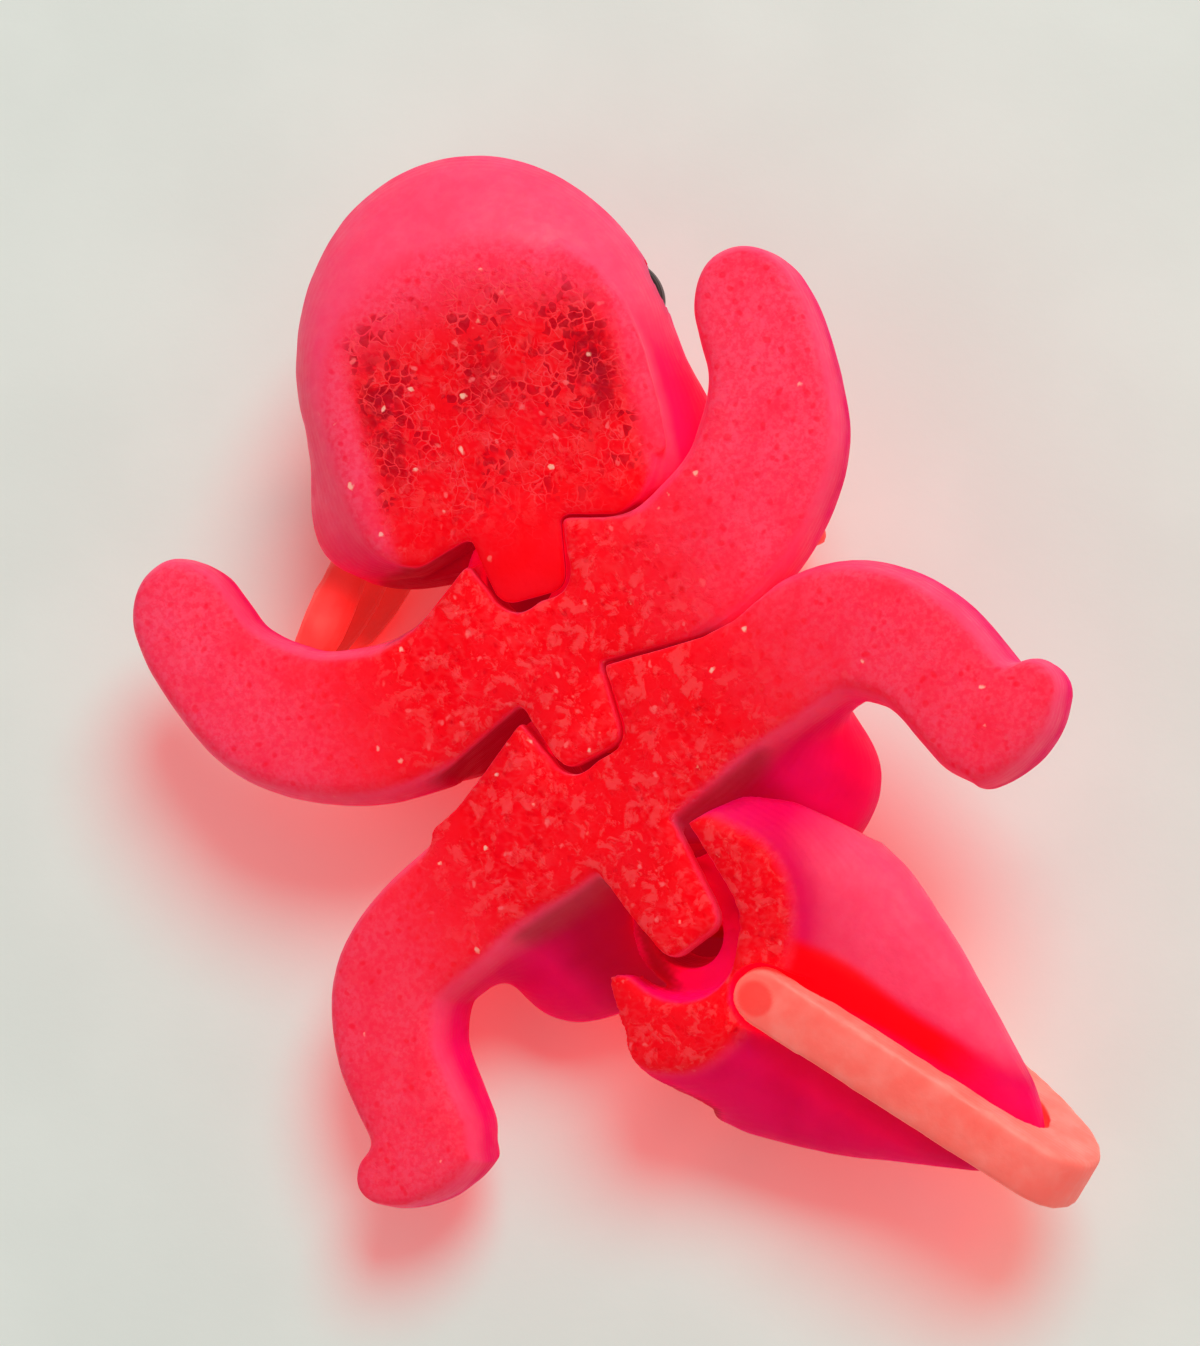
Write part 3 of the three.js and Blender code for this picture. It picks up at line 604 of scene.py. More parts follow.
def roughened(f, d, belly):
    """Presses the bed's grain into the flat belly and leaves faint unevenness on the rest."""
    x, y = np.broadcast_arrays(f.x[:, :, 0], f.y[:, :, 0])
    dent = belly.dent(x, y)
    near = 1 - smooth(f.z / 0.7)
    out = d + (dent[:, :, None] * near).astype(np.float32)
    ix, iy, iz = np.nonzero(np.abs(d) < 0.7)
    X, Y, Z = f.x[ix, 0, 0], f.y[0, iy, 0], f.z[0, 0, iz]
    wob = 0.014 * noise3(X / 0.8, Y / 0.8, Z / 0.35, belly.seed + 31) + 0.03 * noise3(X / 2.4, Y / 2.4, Z / 1.4, belly.seed + 32)
    out[ix, iy, iz] += (wob * smooth(Z / 0.8)).astype(np.float32)
    return out


# ---------------------------------------------------------------- meshes from fields
def piece(name, points, quads, place, body, material, nodes, marks=None):
    own = points * MM
    turn = np.array(in_metres(place))
    me = bpy.data.meshes.new(name)
    me.from_pydata((own @ turn[:3, :3].T + turn[:3, 3]).tolist(), [], quads.tolist())
    me.update()
    me.shade_smooth()
    at = me.attributes.new("own", "FLOAT_VECTOR", "POINT")
    at.data.foreach_set("vector", own.astype(np.float32).ravel())
    for key, values in (marks or {}).items():
        at = me.attributes.new(key, "FLOAT", "POINT")
        at.data.foreach_set("value", np.asarray(values, np.float32))
    o = bpy.data.objects.new(name, me)
    bpy.context.scene.collection.objects.link(o)
    o.data.materials.append(material)
    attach(o, body)
    if nodes:
        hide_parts(*nodes)
    return o


def settle(points, quads, rounds):
    """Evens out the skin's steps."""
    a, b = np.concatenate([quads[:, [0, 1]], quads[:, [1, 2]], quads[:, [2, 3]], quads[:, [3, 0]]]).T
    p = points.copy()
    n = np.bincount(a, minlength=len(p)) + np.bincount(b, minlength=len(p))
    n = np.maximum(n, 1)[:, None]
    for i in range(rounds):
        w = 0.5 if i % 2 == 0 else -0.52
        m = np.stack([np.bincount(a, p[b, k], len(p)) + np.bincount(b, p[a, k], len(p)) for k in range(3)], 1) / n
        p = p + w * (m - p)
    return p


STEP = 0.125


def stalk_room(f):
    """What the lowest gill stalk passes through while the head turns to the far end of its travel."""
    room = np.full(f.n, 9.0, np.float32)
    ax = [f.x[:, 0, 0], f.y[0, :, 0], f.z[0, 0, :]]
    part = [np.nonzero((v > lo) & (v < hi))[0] for v, lo, hi in zip(ax, (4, -3.0, -9), (16, 8.0, 12))]
    cut = tuple(slice(i[0], i[-1] + 1) for i in part)
    pts = np.stack(np.meshgrid(*(v[i] for v, i in zip(ax, part)), indexing="ij"), -1)
    _, seat, way = GILLS[0]
    for k in np.linspace(0.3, 1, 8):
        m = moved(NECK["slip"][0], NECK_Y + NECK["slip"][1], PLAY) @ turned(NECK) @ Matrix.Rotation(math.radians((TURN["neck"] - 0.6) * k), 4, "Z") @ moved(0, 0, -PLAY)
        m = np.array(m.inverted())
        q = pts @ m[:3, :3].T + m[:3, 3]
        room[cut] = np.minimum(room[cut], stalk(SimpleNamespace(x=q[..., 0], y=q[..., 1], z=q[..., 2]), seat, way, 1, 0.14))
    return room


def front_body(material):
    f = Field((-17, -5.6, -0.4), (17, 14.0, 9.4), STEP)
    neck, waist = NECK_TO_WAIST / 2, -NECK_TO_WAIST / 2
    path = [(1.2, 0.4), (7.6, 0.8), (11.1, 2.7), (13.0, 5.9), (13.55, 11.1)]
    widths = [(0, 2.7), (0.18, 3.1), (0.35, 3.2), (0.55, 3.05), (0.8, 2.45), (1, 2.0)]
    heights = [(0, 4.6), (0.35, 4.0), (0.7, 3.9), (1, 3.7)]
    d = f.mesh(*trunk(FRONT, waist + 1.0, neck - 0.5, 0.0))
    for p in (path, mirrored(path)):
        d = smin(d, f.mesh(*limb(p, widths, heights, 2.2)), 1.0)
    slot, room = swung(f, neck, NECK, 0.0, TURN["neck"], 0.0, HEAD_EDGE, HEAD_SIDE)
    shoulders = f.outline([(-6.5, 2.0), (-5.6, 4.0), (-2.4, 4.75), (2.4, 4.75), (5.6, 4.0), (6.5, 2.0)], 0.0, 3.0)
    d = smin(d, smax(shoulders, -room, 0.15), 0.5)
    d = smax(d, -f.z, 0.25)
    d = with_tongue(f, d, neck, 8.6, slot)
    room = np.minimum(room, slot)
    d = smax(d, -stalk_room(f), 0.2)
    d = edged(f, d, FRONT_EDGE)
    d = with_clevis(f, d, waist, waist + 3.0, 8.3)
    d = roughened(f, d, FRONT_BELLY)
    p, q = f.surface(d)
    p = settle(p, q, 2)
    piece("front_body_skin", p, q, AT["front_body"], "front_body", material, ["front_body"], FRONT_BELLY.marks(p, np.maximum(front_deep(*p.T), gap_wall_shade(p, f.at(room, p)) * within(p[:, 0], 6.0, 0.8))))


def rear_body(material):
    f = Field((-20, -9.9, -0.4), (20, 7.0, 9.3), STEP)
    waist, tail = WAIST_TO_TAIL / 2, -WAIST_TO_TAIL / 2
    path = [(1.2, 2.4), (7.6, 1.9), (11.7, 1.3), (13.6, -0.9), (14.2, -3.9), (14.3, -7.3)]
    widths = [(0, 2.6), (0.18, 2.85), (0.35, 2.9), (0.55, 2.75), (0.8, 2.4), (1, 2.15)]
    heights = [(0, 5.0), (0.35, 4.8), (0.7, 4.6), (1, 4.2)]
    toe = [(13.4, -5.2), (15.3, -5.7), (16.7, -5.2), (17.6, -4.4)]
    d = f.mesh(*trunk(REAR, tail + TAIL["wall"], waist - 0.5, TAIL["inset"]))
    for flip in (list, mirrored):
        leg = f.mesh(*limb(flip(path), widths, heights, 2.2))
        foot = f.mesh(*limb(flip(toe), [(0, 1.9), (0.5, 1.5), (1, 1.05)], [(0, 3.9), (1, 3.2)], 1.1, 60, 60))
        d = smin(d, smin(leg, foot, 0.7), 1.0)
    hips = [(8.2, 2.5), (6.9, 5.0), (5.6, 5.7), (4.0, 6.2), (2.0, 6.4)]
    d = smin(d, f.outline(mirrored(hips) + hips[::-1], 0.0, 3.4), 0.6)
    d = smax(d, -f.z, 0.25)
    slot, room = swung(f, waist, WAIST, NECK_TO_WAIST / 2, TURN["waist"], -NECK_TO_WAIST / 2, FRONT_EDGE, FRONT_SIDE)
    d = smax(d, -room, 0.15)
    d = with_tongue(f, d, waist, 8.3, slot)
    room = np.minimum(room, slot)
    d = with_clevis(f, d, tail, tail + TAIL["wall"] + TAIL["inset"] + 0.8, 8.2)
    d = roughened(f, d, REAR_BELLY)
    p, q = f.surface(d)
    p = settle(p, q, 2)
    piece("rear_body_skin", p, q, AT["rear_body"], "rear_body", material, ["rear_body"], REAR_BELLY.marks(p, np.maximum(rear_deep(*p.T), gap_wall_shade(p, f.at(room, p)) * within(p[:, 0], 7.5, 1.0))))


def stalk(f, seat, way, side, extra):
    """A gill stalk, round about its way."""
    w = np.array([way[0] * side, way[1], way[2]])
    w /= np.linalg.norm(w)
    dx, dy, dz = f.x - seat[0] * side, f.y - seat[1], f.z - seat[2]
    t = dx * w[0] + dy * w[1] + dz * w[2]
    r = np.sqrt(np.maximum(dx * dx + dy * dy + dz * dz - t * t, 0))
    g, l = GILL["radius"] + extra, GILL["length"] + extra
    rows = [(-GILL["seat"] - extra, 0.72), (0.6, 0.84), (2.4, 1.0), (l * 0.6, 0.98), (l * 0.8, 0.84), (l * 0.92, 0.58), (l * 0.98, 0.3), (l, 0.0)]
    rad = straight([(a, b * g) for a, b in rows], t)
    d = (r - rad) * 0.9
    return np.maximum(np.maximum(d, -GILL["seat"] - extra - t), t - l)


def eye_field(f, side, extra):
    way = Vector((side * 0.93, 0.27, 0.25)).normalized()
    turn = np.array(Vector((0, 0, 1)).rotation_difference(way).to_matrix())
    rel = [f.x - side * 6.84, f.y - 9.9, f.z - 4.2]
    q = [rel[0] * turn[0, k] + rel[1] * turn[1, k] + rel[2] * turn[2, k] for k in range(3)]
    r = (EYE["radius"] + extra, EYE["radius"] + extra, EYE["bulge"] + extra)
    k0 = np.sqrt(sum((c / s) ** 2 for c, s in zip(q, r)))
    k1 = np.sqrt(sum((c / (s * s)) ** 2 for c, s in zip(q, r)))
    return k0 * (k0 - 1) / np.maximum(k1, 1e-6)


def head(pink, salmon, black):
    f = Field((-9.7, -3.4, -0.4), (9.7, 17.9, 10.8), STEP)
    d = f.mesh(*head_skin())
    d = smax(d, -f.z, 0.25)
    d = smin(d, f.thread([(-4.5, 11.9, 0.62), (-5.5, 10.8, 0.5), (-6.2, 9.2, 0.42), (-6.5, 7.2, 0.34), (-6.55, 5.0, 0.34), (-6.45, 3.4, 0.34)], 0.3), 0.4)
    d = edged(f, d, HEAD_EDGE)
    d = with_clevis(f, d, 0, 2.6, 8.6)
    for side in (1, -1):
        d = smax(d, -eye_field(f, side, EYE["gap"]), 0.12)
        for _, seat, way in GILLS:
            d = smax(d, -stalk(f, seat, way, side, GILL["gap"]), 0.15)
    d = roughened(f, d, HEAD_BELLY)
    p, q = f.surface(d)
    p = settle(p, q, 2)
    piece("head_skin", p, q, AT["head"], "head", pink, ["head"], HEAD_BELLY.marks(p))
    for word, side in (("right", 1), ("left", -1)):
        e = Field((side * 7.3 - 2.2, 7.3, 2.6), (side * 7.3 + 2.2, 11.9, 6.8), 0.09)
        p, q = e.surface(eye_field(e, side, 0.0))
        piece("eye_" + word + "_bead", settle(p, q, 2), q, AT["head"], "head", black, ["eye_" + word])
        for kind, seat, way in GILLS:
            c = np.array([seat[0] * side, seat[1], seat[2]])
            w = np.array([way[0] * side, way[1], way[2]])
            w /= np.linalg.norm(w)
            a, b = c - w * (GILL["seat"] + 0.2), c + w * (GILL["length"] + 0.2)
            g = Field(np.minimum(a, b) - 1.3, np.maximum(a, b) + 1.3, 0.11)
            dd = stalk(g, seat, way, side, 0.0)
            X, Y, Z = np.broadcast_arrays(g.x, g.y, g.z)
            dd = dd + 0.03 * noise3(X / 0.7, Y / 0.7, Z / 0.35, 61)
            p, q = g.surface(dd)
            p = settle(p, q, 4)
            # root: painted shade, darker red towards each stalk's root
            piece("gill_" + word + "_" + kind + "_stalk", p, q, AT["head"], "head", salmon, ["gill_" + word + "_" + kind], dict(root=1 - smooth(((p - c) @ w - (1.2 if kind == "lower" else 4.4)) / 1.6), stalk=np.ones(len(p))))


# Painted shade on the tail: in the hollow carved for the rear body's swing, in the pin's room and beside the fin.
def tail_deep(p, carve):
    x, y, z = p.T
    hollow = (1 - smooth((np.abs(carve) - 0.1) / 0.5)) * smooth((z - 0.3) / 0.7) * mix(0.4, 1.0, smooth((x + 0.6) / 1.4))
    beside_fin = np.where(x < 0, 0.1, 0.45) * (1 - smooth((np.abs(x) - 1.6) / 1.3)) * smooth((-y - 3.2) / 1.0) * (1 - smooth((z - 2.6) / 1.2))
    return np.maximum(np.maximum(hollow, inside_joint(x, y, z, 0.0)), beside_fin)


def tail_fin_shade(x, y, z):
    """Painted shade: the scarlet strip between the fin and one flank, where the light comes through."""
    return (1 - smooth((np.abs(x + 1.75) - mix(0.7, 0.3, smooth((-y - 5.0) / 5.0))) / 0.55)) * smooth((-y - 3.4) / 0.8) * (1 - smooth((-y - 10.5) / 3.5)) * (1 - smooth((z - 2.8) / 1.0)) * (x < 0)


def fin_start(f, extra):
    """The rounded start of the fin, let into the tail's flat underside."""
    r = FIN["thick"] / 2 + extra
    plan = np.where(f.y > FIN["start"], np.hypot(f.x, f.y - FIN["start"]), np.abs(f.x)) - r
    return np.maximum(np.maximum(plan, -6.4 - f.y), f.z - FIN["inlay"] - extra)


def tail(pink, salmon):
    T = TAIL
    f = Field((-7.8, -16.9, -0.5), (7.8, 3.9, 9.4), STEP)
    d = f.mesh(*tail_skin(0.0))
    pts = np.stack(np.broadcast_arrays(f.x, f.y, f.z), -1).reshape(-1, 3)

    def seen_from_rear(yaw):
        t = dict(ROOT, yaw=yaw)
        m = moved(0, 0, PLAY) @ turned(t) @ moved(ROOT["slip"][0], ROOT["slip"][1], -PLAY)
        a = np.array(m)
        return (pts @ a[:3, :3].T + a[:3, 3]).reshape(*f.n, 3)

    w = T["wall"] - T["play"]
    lean = [(w + 4.1, -1), (w + 4.1, 0.6), (w + 3.1, 1.7), (w + 0.9, 3.6), (w, 5.0), (w, 9.6), (8, 9.6), (8, -1)]
    sides = [(-6.0, w), (6.0, w), (8.4, w + 1.2), (9.5, w + 3.4), (9.5, 8), (-9.5, 8), (-9.5, w + 3.4), (-8.4, w + 1.2)]
    carve = None
    for i in range(9):
        q = seen_from_rear(mix(-T["most"], T["most"], i / 8))
        X, Y, Z = q[..., 0], q[..., 1], q[..., 2]
        wall = np.maximum(table(lean, Y, Z), table(sides, X, Y))
        slot = np.maximum(np.maximum(np.abs(X) - 2.4, -Y), Z - J["prong"] - 0.5)
        both = np.minimum(wall, slot)
        carve = both if carve is None else np.minimum(carve, both)
    q = seen_from_rear(0.0)
    X, Y, Z = q[..., 0], q[..., 1], q[..., 2]
    carve = np.minimum(carve, np.maximum(np.hypot(X, Y) - 2.4, Z - J["prong"] - 0.5))
    r = J["dome"] + J["dome_gap"]
    k = np.sqrt((X / r) ** 2 + (Y / r) ** 2 + ((Z - J["roof"]) / (8.2 - J["roof"] + J["dome_gap"])) ** 2)
    carve = np.minimum(carve, np.maximum((k - 1) * r * 0.9, J["roof"] - J["dome_gap"] - Z))
    d = smax(d, -carve, 0.3)
    d = with_tongue(f, d, 0, 8.2, f.post(2.45, -1, J["eye0"] + 0.15), 0.15)
    d = smax(d, -fin_start(f, FIN["gap"]), 0.12)
    d = roughened(f, d, TAIL_BELLY)
    p, q = f.surface(d)
    p, q = biggest(p, q)
    p = settle(p, q, 2)
    piece("tail_body_skin", p, q, AT["tail"], "tail", pink, ["tail_body"], dict(TAIL_BELLY.marks(p, tail_deep(p, f.at(carve, p))), fin_shade=tail_fin_shade(*p.T)))

    g = Field((-1.5, -18.9, -0.3), (1.5, -2.4, 10.1), 0.11)

    def bow(*c, n=14):
        t = np.linspace(0, 1, n, endpoint=False)[:, None]
        c = [np.array(x, float) for x in c]
        if len(c) == 3:
            return (1 - t) ** 2 * c[0] + 2 * t * (1 - t) * c[1] + t * t * c[2]
        return (1 - t) ** 3 * c[0] + 3 * t * (1 - t) ** 2 * c[1] + 3 * t * t * (1 - t) * c[2] + t**3 * c[3]

    rim = np.vstack(
        [
            [(-2.8, 0.0)],
            bow((-16.1, 0.0), (-17.6, 0.0), (-18.5, 1.2), (-18.4, 2.6)),
            bow((-18.4, 2.6), (-18.2, 4.4), (-16.4, 5.6), (-13.9, 6.8)),
            bow((-13.9, 6.8), (-11.2, 8.2), (-8.4, 9.5), (-6.4, 9.8)),
            bow((-6.4, 9.8), (-5.2, 9.8), (-4.8, 8.2)),
            [(-4.8, 8.2), (-4.0, 4.0)],
        ]
    )
    plan = polygon(rim, g.y[0, :, 0][:, None], g.z[0, 0, :][None, :])[None]
    dd = smax(plan, np.abs(g.x) - FIN["thick"] / 2, 0.28)
    cone = g.mesh(*tail_skin(FIN["gap"]))
    dd = smax(dd, -cone, 0.12)
    dd = smin(dd, smax(fin_start(g, 0.0), -g.z, 0.15), 0.1)
    X, Y, Z = np.broadcast_arrays(g.x, g.y, g.z)
    dd = dd + 0.02 * noise3(X / 0.6, Y / 0.6, Z / 0.3, 71) + 0.02
    p, q = g.surface(dd)
    p, q = biggest(p, q)
    p = settle(p, q, 4)
    disc = (1 - smooth((np.hypot(p[:, 0] - 0.1, p[:, 1] + 3.9) - 0.62) / 0.2)) * (1 - smooth((p[:, 2] - 0.2) / 0.3))
    piece("tail_fin_plate", p, q, AT["tail"], "tail", salmon, ["tail_fin"], dict(disc=disc))


def table(pts, a, b):
    """Signed distance to a convex or simple outline over any array, through a fine table."""
    pts = np.asarray(pts, float)
    step = 0.08
    lo = np.array([min(a.min(), pts[:, 0].min()), min(b.min(), pts[:, 1].min())]) - 0.2
    hi = np.array([max(a.max(), pts[:, 0].max()), max(b.max(), pts[:, 1].max())]) + 0.2
    n = np.ceil((hi - lo) / step).astype(int) + 1
    grid = polygon(pts, (lo[0] + np.arange(n[0]) * step)[:, None], (lo[1] + np.arange(n[1]) * step)[None, :])
    u, v = (a - lo[0]) / step, (b - lo[1]) / step
    i, j = np.floor(u).astype(int), np.floor(v).astype(int)
    fu, fv = u - i, v - j
    return grid[i, j] * (1 - fu) * (1 - fv) + grid[i + 1, j] * fu * (1 - fv) + grid[i, j + 1] * (1 - fu) * fv + grid[i + 1, j + 1] * fu * fv


def biggest(points, quads):
    """The largest connected skin."""
    label = np.arange(len(points))
    while True:
        low = label[quads].min(1)
        new = label.copy()
        for k in range(4):
            np.minimum.at(new, quads[:, k], low)
        new = new[new]
        if (new == label).all():
            break
        label = new
    name, count = np.unique(label[quads[:, 0]], return_counts=True)
    keep = quads[label[quads[:, 0]] == name[count.argmax()]]
    used, back = np.unique(keep, return_inverse=True)
    return points[used], back.reshape(keep.shape)


# ---------------------------------------------------------------- materials
class Nodes:
    def __init__(self, name):
        self.m = bpy.data.materials.new(name)
        self.m.use_nodes = True
        self.t = self.m.node_tree
        self.t.nodes.clear()
        self.out = self.add("ShaderNodeOutputMaterial")
        self.bsdf = self.add("ShaderNodeBsdfPrincipled")
        self.link(self.bsdf.outputs[0], self.out.inputs[0])

    def add(self, kind, **props):
        n = self.t.nodes.new(kind)
        for k, v in props.items():
            setattr(n, k, v)
        return n

    def link(self, a, b):
        self.t.links.new(a, b)

    def set(self, node, name, value):
        if hasattr(value, "is_output"):
            self.link(value, node.inputs[name])
        else:
            node.inputs[name].default_value = value

    def mark(self, name):
        return self.add("ShaderNodeAttribute", attribute_name=name).outputs["Fac"]

    def where(self):
        """Places in the segment's own frame, so that the marks stay on it as it turns."""
        return self.add("ShaderNodeAttribute", attribute_name="own").outputs["Vector"]

    def warped(self, scale, amount):
        """The segment's own coordinates, pushed about by noise."""
        t = self.add("ShaderNodeTexNoise")
        self.link(self.where(), t.inputs["Vector"])
        t.inputs["Scale"].default_value = scale
        mid = self.add("ShaderNodeVectorMath", operation="SUBTRACT")
        self.link(t.outputs["Color"], mid.inputs[0])
        mid.inputs[1].default_value = (0.5, 0.5, 0.5)
        far = self.add("ShaderNodeVectorMath", operation="MULTIPLY_ADD")
        self.link(mid.outputs[0], far.inputs[0])
        far.inputs[1].default_value = (2 * amount,) * 3
        self.link(self.where(), far.inputs[2])
        return far.outputs[0]

    def noise(self, scale, detail=2.0, rough=0.5, at=None):
        n = self.add("ShaderNodeTexNoise")
        self.link(at or self.where(), n.inputs["Vector"])
        n.inputs["Scale"].default_value = scale
        n.inputs["Detail"].default_value = detail
        n.inputs["Roughness"].default_value = rough
        return n.outputs["Fac"]

    def cells(self, scale, feature="F1", at=None, randomness=1.0):
        n = self.add("ShaderNodeTexVoronoi", feature=feature)
        self.link(at or self.where(), n.inputs["Vector"])
        n.inputs["Scale"].default_value = scale
        n.inputs["Randomness"].default_value = randomness
        return n

    def math(self, op, a, b=None, c=None):
        n = self.add("ShaderNodeMath", operation=op)
        for i, v in enumerate((a, b, c)):
            if v is None:
                continue
            if hasattr(v, "is_output"):
                self.link(v, n.inputs[i])
            else:
                n.inputs[i].default_value = v
        return n.outputs[0]

    def span(self, v, a, b, c=0.0, d=1.0):
        n = self.add("ShaderNodeMapRange", interpolation_type="SMOOTHSTEP")
        self.link(v, n.inputs[0])
        for i, x in enumerate((a, b, c, d)):
            n.inputs[1 + i].default_value = x
        return n.outputs[0]

    def mix(self, f, a, b):
        n = self.add("ShaderNodeMix", data_type="RGBA")
        for i, v in ((0, f), (6, a), (7, b)):
            if hasattr(v, "is_output"):
                self.link(v, n.inputs[i])
            else:
                n.inputs[i].default_value = v if i == 0 else (*v, 1.0)
        return n.outputs[2]

    def bump(self, height, strength, distance, after=None):
        n = self.add("ShaderNodeBump")
        n.inputs["Strength"].default_value = strength
        n.inputs["Distance"].default_value = distance
        self.link(height, n.inputs["Height"])
        if after is not None:
            self.link(after, n.inputs["Normal"])
        return n.outputs[0]


def linear(r, g, b):
    def one(c):
        c /= 255
        return c / 12.92 if c <= 0.04045 else ((c + 0.055) / 1.055) ** 2.4

    return (one(r), one(g), one(b))


def layer_lines(n, pitch):
    """Faint contour lines of the printed layers, by height above the bed."""
    sep = n.add("ShaderNodeSeparateXYZ")
    n.link(n.where(), sep.inputs[0])
    wob = n.math("MULTIPLY", n.noise(900.0, 1.0), 0.00006)
    h = n.math("ADD", sep.outputs["Z"], wob)
    return n.math("SINE", n.math("MULTIPLY", h, 2 * math.pi / pitch))


def glowing(n, through, painted_glow, strength, thick=45.0):
    """Translucent, fluorescent plastic: lamps reach through it with most of their red, less the thicker it is, and a
    painted red glow (emission) is added on top.
    """
    rays = n.add("ShaderNodeLightPath")
    side = n.math("MULTIPLY_ADD", n.add("ShaderNodeNewGeometry").outputs["Backfacing"], -2.0, 1.0)
    depth = n.math("EXPONENT", n.math("MULTIPLY", n.math("MULTIPLY", rays.outputs["Ray Length"], thick), side))
    tint = n.add("ShaderNodeVectorMath", operation="SCALE")
    tint.inputs[0].default_value = through
    n.link(depth, tint.inputs["Scale"])
    passed = n.add("ShaderNodeBsdfTransparent")
    n.link(tint.outputs[0], passed.inputs["Color"])
    both = n.add("ShaderNodeMixShader")
    n.link(rays.outputs["Is Shadow Ray"], both.inputs[0])
    n.link(n.bsdf.outputs[0], both.inputs[1])
    n.link(passed.outputs[0], both.inputs[2])
    n.link(both.outputs[0], n.out.inputs[0])
    n.bsdf.inputs["Emission Color"].default_value = (*painted_glow, 1.0)
    n.bsdf.inputs["Emission Strength"].default_value = strength


def look(r, g, b):
    """A colour as seen, for plastic that gives back part of its green and blue and most of its red."""
    c = linear(r, g, b)
    return (min(0.98, c[0] * 1.05), min(0.95, c[1] * 1.0), min(0.95, c[2] * 1.0))


def pink_plastic():
    n = Nodes("pink_plastic")
    b = n.bsdf
    flat, rough, pit, ridge, reds, dark, patch, deep, pale, crackle = (n.mark(k) for k in ("flat", "rough", "pit", "ridge", "red", "dark", "patch", "deep", "pale", "crackle"))
    flank = n.mix(n.span(n.noise(240.0, 3.0), 0.35, 0.7), look(212, 0, 88), look(230, 8, 104))
    # lighter flank where pale is set: partly a painted highlight, plainly so on the tail's lamp-side flank
    flank = n.mix(n.math("MULTIPLY", pale, n.math("MULTIPLY", n.span(n.noise(500.0, 3.0), 0.25, 0.75, 0.72, 1.0), n.span(n.noise(1700.0, 3.0, 0.6), 0.35, 0.65, 0.78, 1.0))), flank, look(255, 86, 126))
    # painted shade: the scarlet strip beside the fin
    flank = n.mix(n.mark("fin_shade"), flank, look(252, 0, 6))
    # soles: close stipple with a few darker grains
    sole = n.mix(n.span(n.noise(4200.0, 3.0, 0.6), 0.36, 0.66), look(254, 64, 100), look(255, 88, 122))
    sole = n.mix(n.span(n.noise(420.0, 3.0), 0.42, 0.7, 0.0, 0.6), sole, look(250, 42, 78))
    grains = n.cells(2300.0, at=n.warped(900.0, 0.0003))
    tone = n.add("ShaderNodeSeparateColor")
    n.link(grains.outputs["Color"], tone.inputs[0])
    grain = n.math("MULTIPLY", n.span(grains.outputs["Distance"], 0.42, 0.16), n.span(tone.outputs[0], 0.5, 0.75))
    sole = n.mix(n.math("MULTIPLY", grain, 0.55), sole, look(240, 12, 52))
    # the middle of the belly: lighter flakes on red
    flakes = n.span(n.noise(1500.0, 4.0, 0.62, n.warped(700.0, 0.0006)), 0.5, 0.6)
    red = n.mix(n.span(n.noise(500.0, 3.0), 0.35, 0.65), look(244, 0, 6), look(250, 8, 22))
    red = n.mix(n.math("MULTIPLY", flakes, n.math("MULTIPLY_ADD", crackle, -0.34, n.math("MULTIPLY", rough, 0.72))), red, look(255, 84, 86))
    hollows = n.span(n.noise(1900.0, 3.0, 0.6, n.warped(800.0, 0.0005)), 0.58, 0.68)
    red = n.mix(n.math("MULTIPLY", hollows, n.math("MULTIPLY", rough, 0.6)), red, look(216, 0, 8))
    belly = n.mix(reds, sole, red)
    # crackle: thin light seams round dark grains
    bent = n.warped(1100.0, 0.00045)
    seams = n.cells(2500.0, "DISTANCE_TO_EDGE", bent)
    seam = n.math("MULTIPLY", n.span(seams.outputs["Distance"], 0.09, 0.01), n.span(n.noise(900.0, 2.0), 0.42, 0.6))
    belly = n.mix(n.math("MULTIPLY", n.math("MULTIPLY", seam, crackle), 0.55), belly, look(255, 96, 104))
    # painted highlight: the grain's raised ridges a little lighter
    belly = n.mix(n.math("MULTIPLY", ridge, n.span(patch, 0.1, 0.8, 0.05, 0.3)), belly, look(254, 82, 88))
    hollow = n.math("MULTIPLY", n.math("MULTIPLY", grain, n.math("MULTIPLY", rough, 0.4)), n.span(n.noise(600.0, 2.0), 0.4, 0.62, 0.2, 1.0))
    belly = n.mix(hollow, belly, look(168, 0, 18))
    # under the head: dark grains packed between light seams
    packed = n.cells(2500.0, at=bent)
    each = n.add("ShaderNodeSeparateColor")
    n.link(packed.outputs["Color"], each.inputs[0])
    patches = n.math("MAXIMUM", n.span(n.noise(380.0, 3.0, 0.6), 0.44, 0.58), dark)
    pits = n.math("MULTIPLY", n.math("MULTIPLY", n.span(seams.outputs["Distance"], 0.03, 0.15), n.span(each.outputs[0], 0.3, 0.7, 0.1, 1.0)), patches)
    belly = n.mix(n.math("MULTIPLY", n.math("MULTIPLY", pits, crackle), 0.72), belly, look(150, 0, 24))
    # painted shade: the grain's pressed-in pits a little darker
    belly = n.mix(n.math("MULTIPLY", pit, 0.4), belly, look(206, 0, 22))
    cloud = n.math("MULTIPLY", dark, n.span(n.noise(1300.0, 3.0), 0.36, 0.56))
    belly = n.mix(n.math("MULTIPLY", cloud, n.math("SUBTRACT", 0.9, n.math("MULTIPLY", seam, 0.6))), belly, look(128, 0, 20))
    crumbs = n.cells(1900.0, at=n.warped(1500.0, 0.0003))
    shade = n.add("ShaderNodeSeparateColor")
    n.link(crumbs.outputs["Color"], shade.inputs[0])
    crumb = n.math("MULTIPLY", n.span(crumbs.outputs["Distance"], 0.3, 0.12), n.span(shade.outputs[1], 0.84, 0.88))
    belly = n.mix(n.math("MULTIPLY", n.math("MULTIPLY", crumb, rough), 0.6), belly, look(255, 138, 138))
    colour = n.mix(flat, flank, belly)
    # painted shade: dark red in the joint rooms, notches, gap walls and hollows
    colour = n.mix(n.math("MULTIPLY", deep, 0.92), colour, look(105, 0, 0))
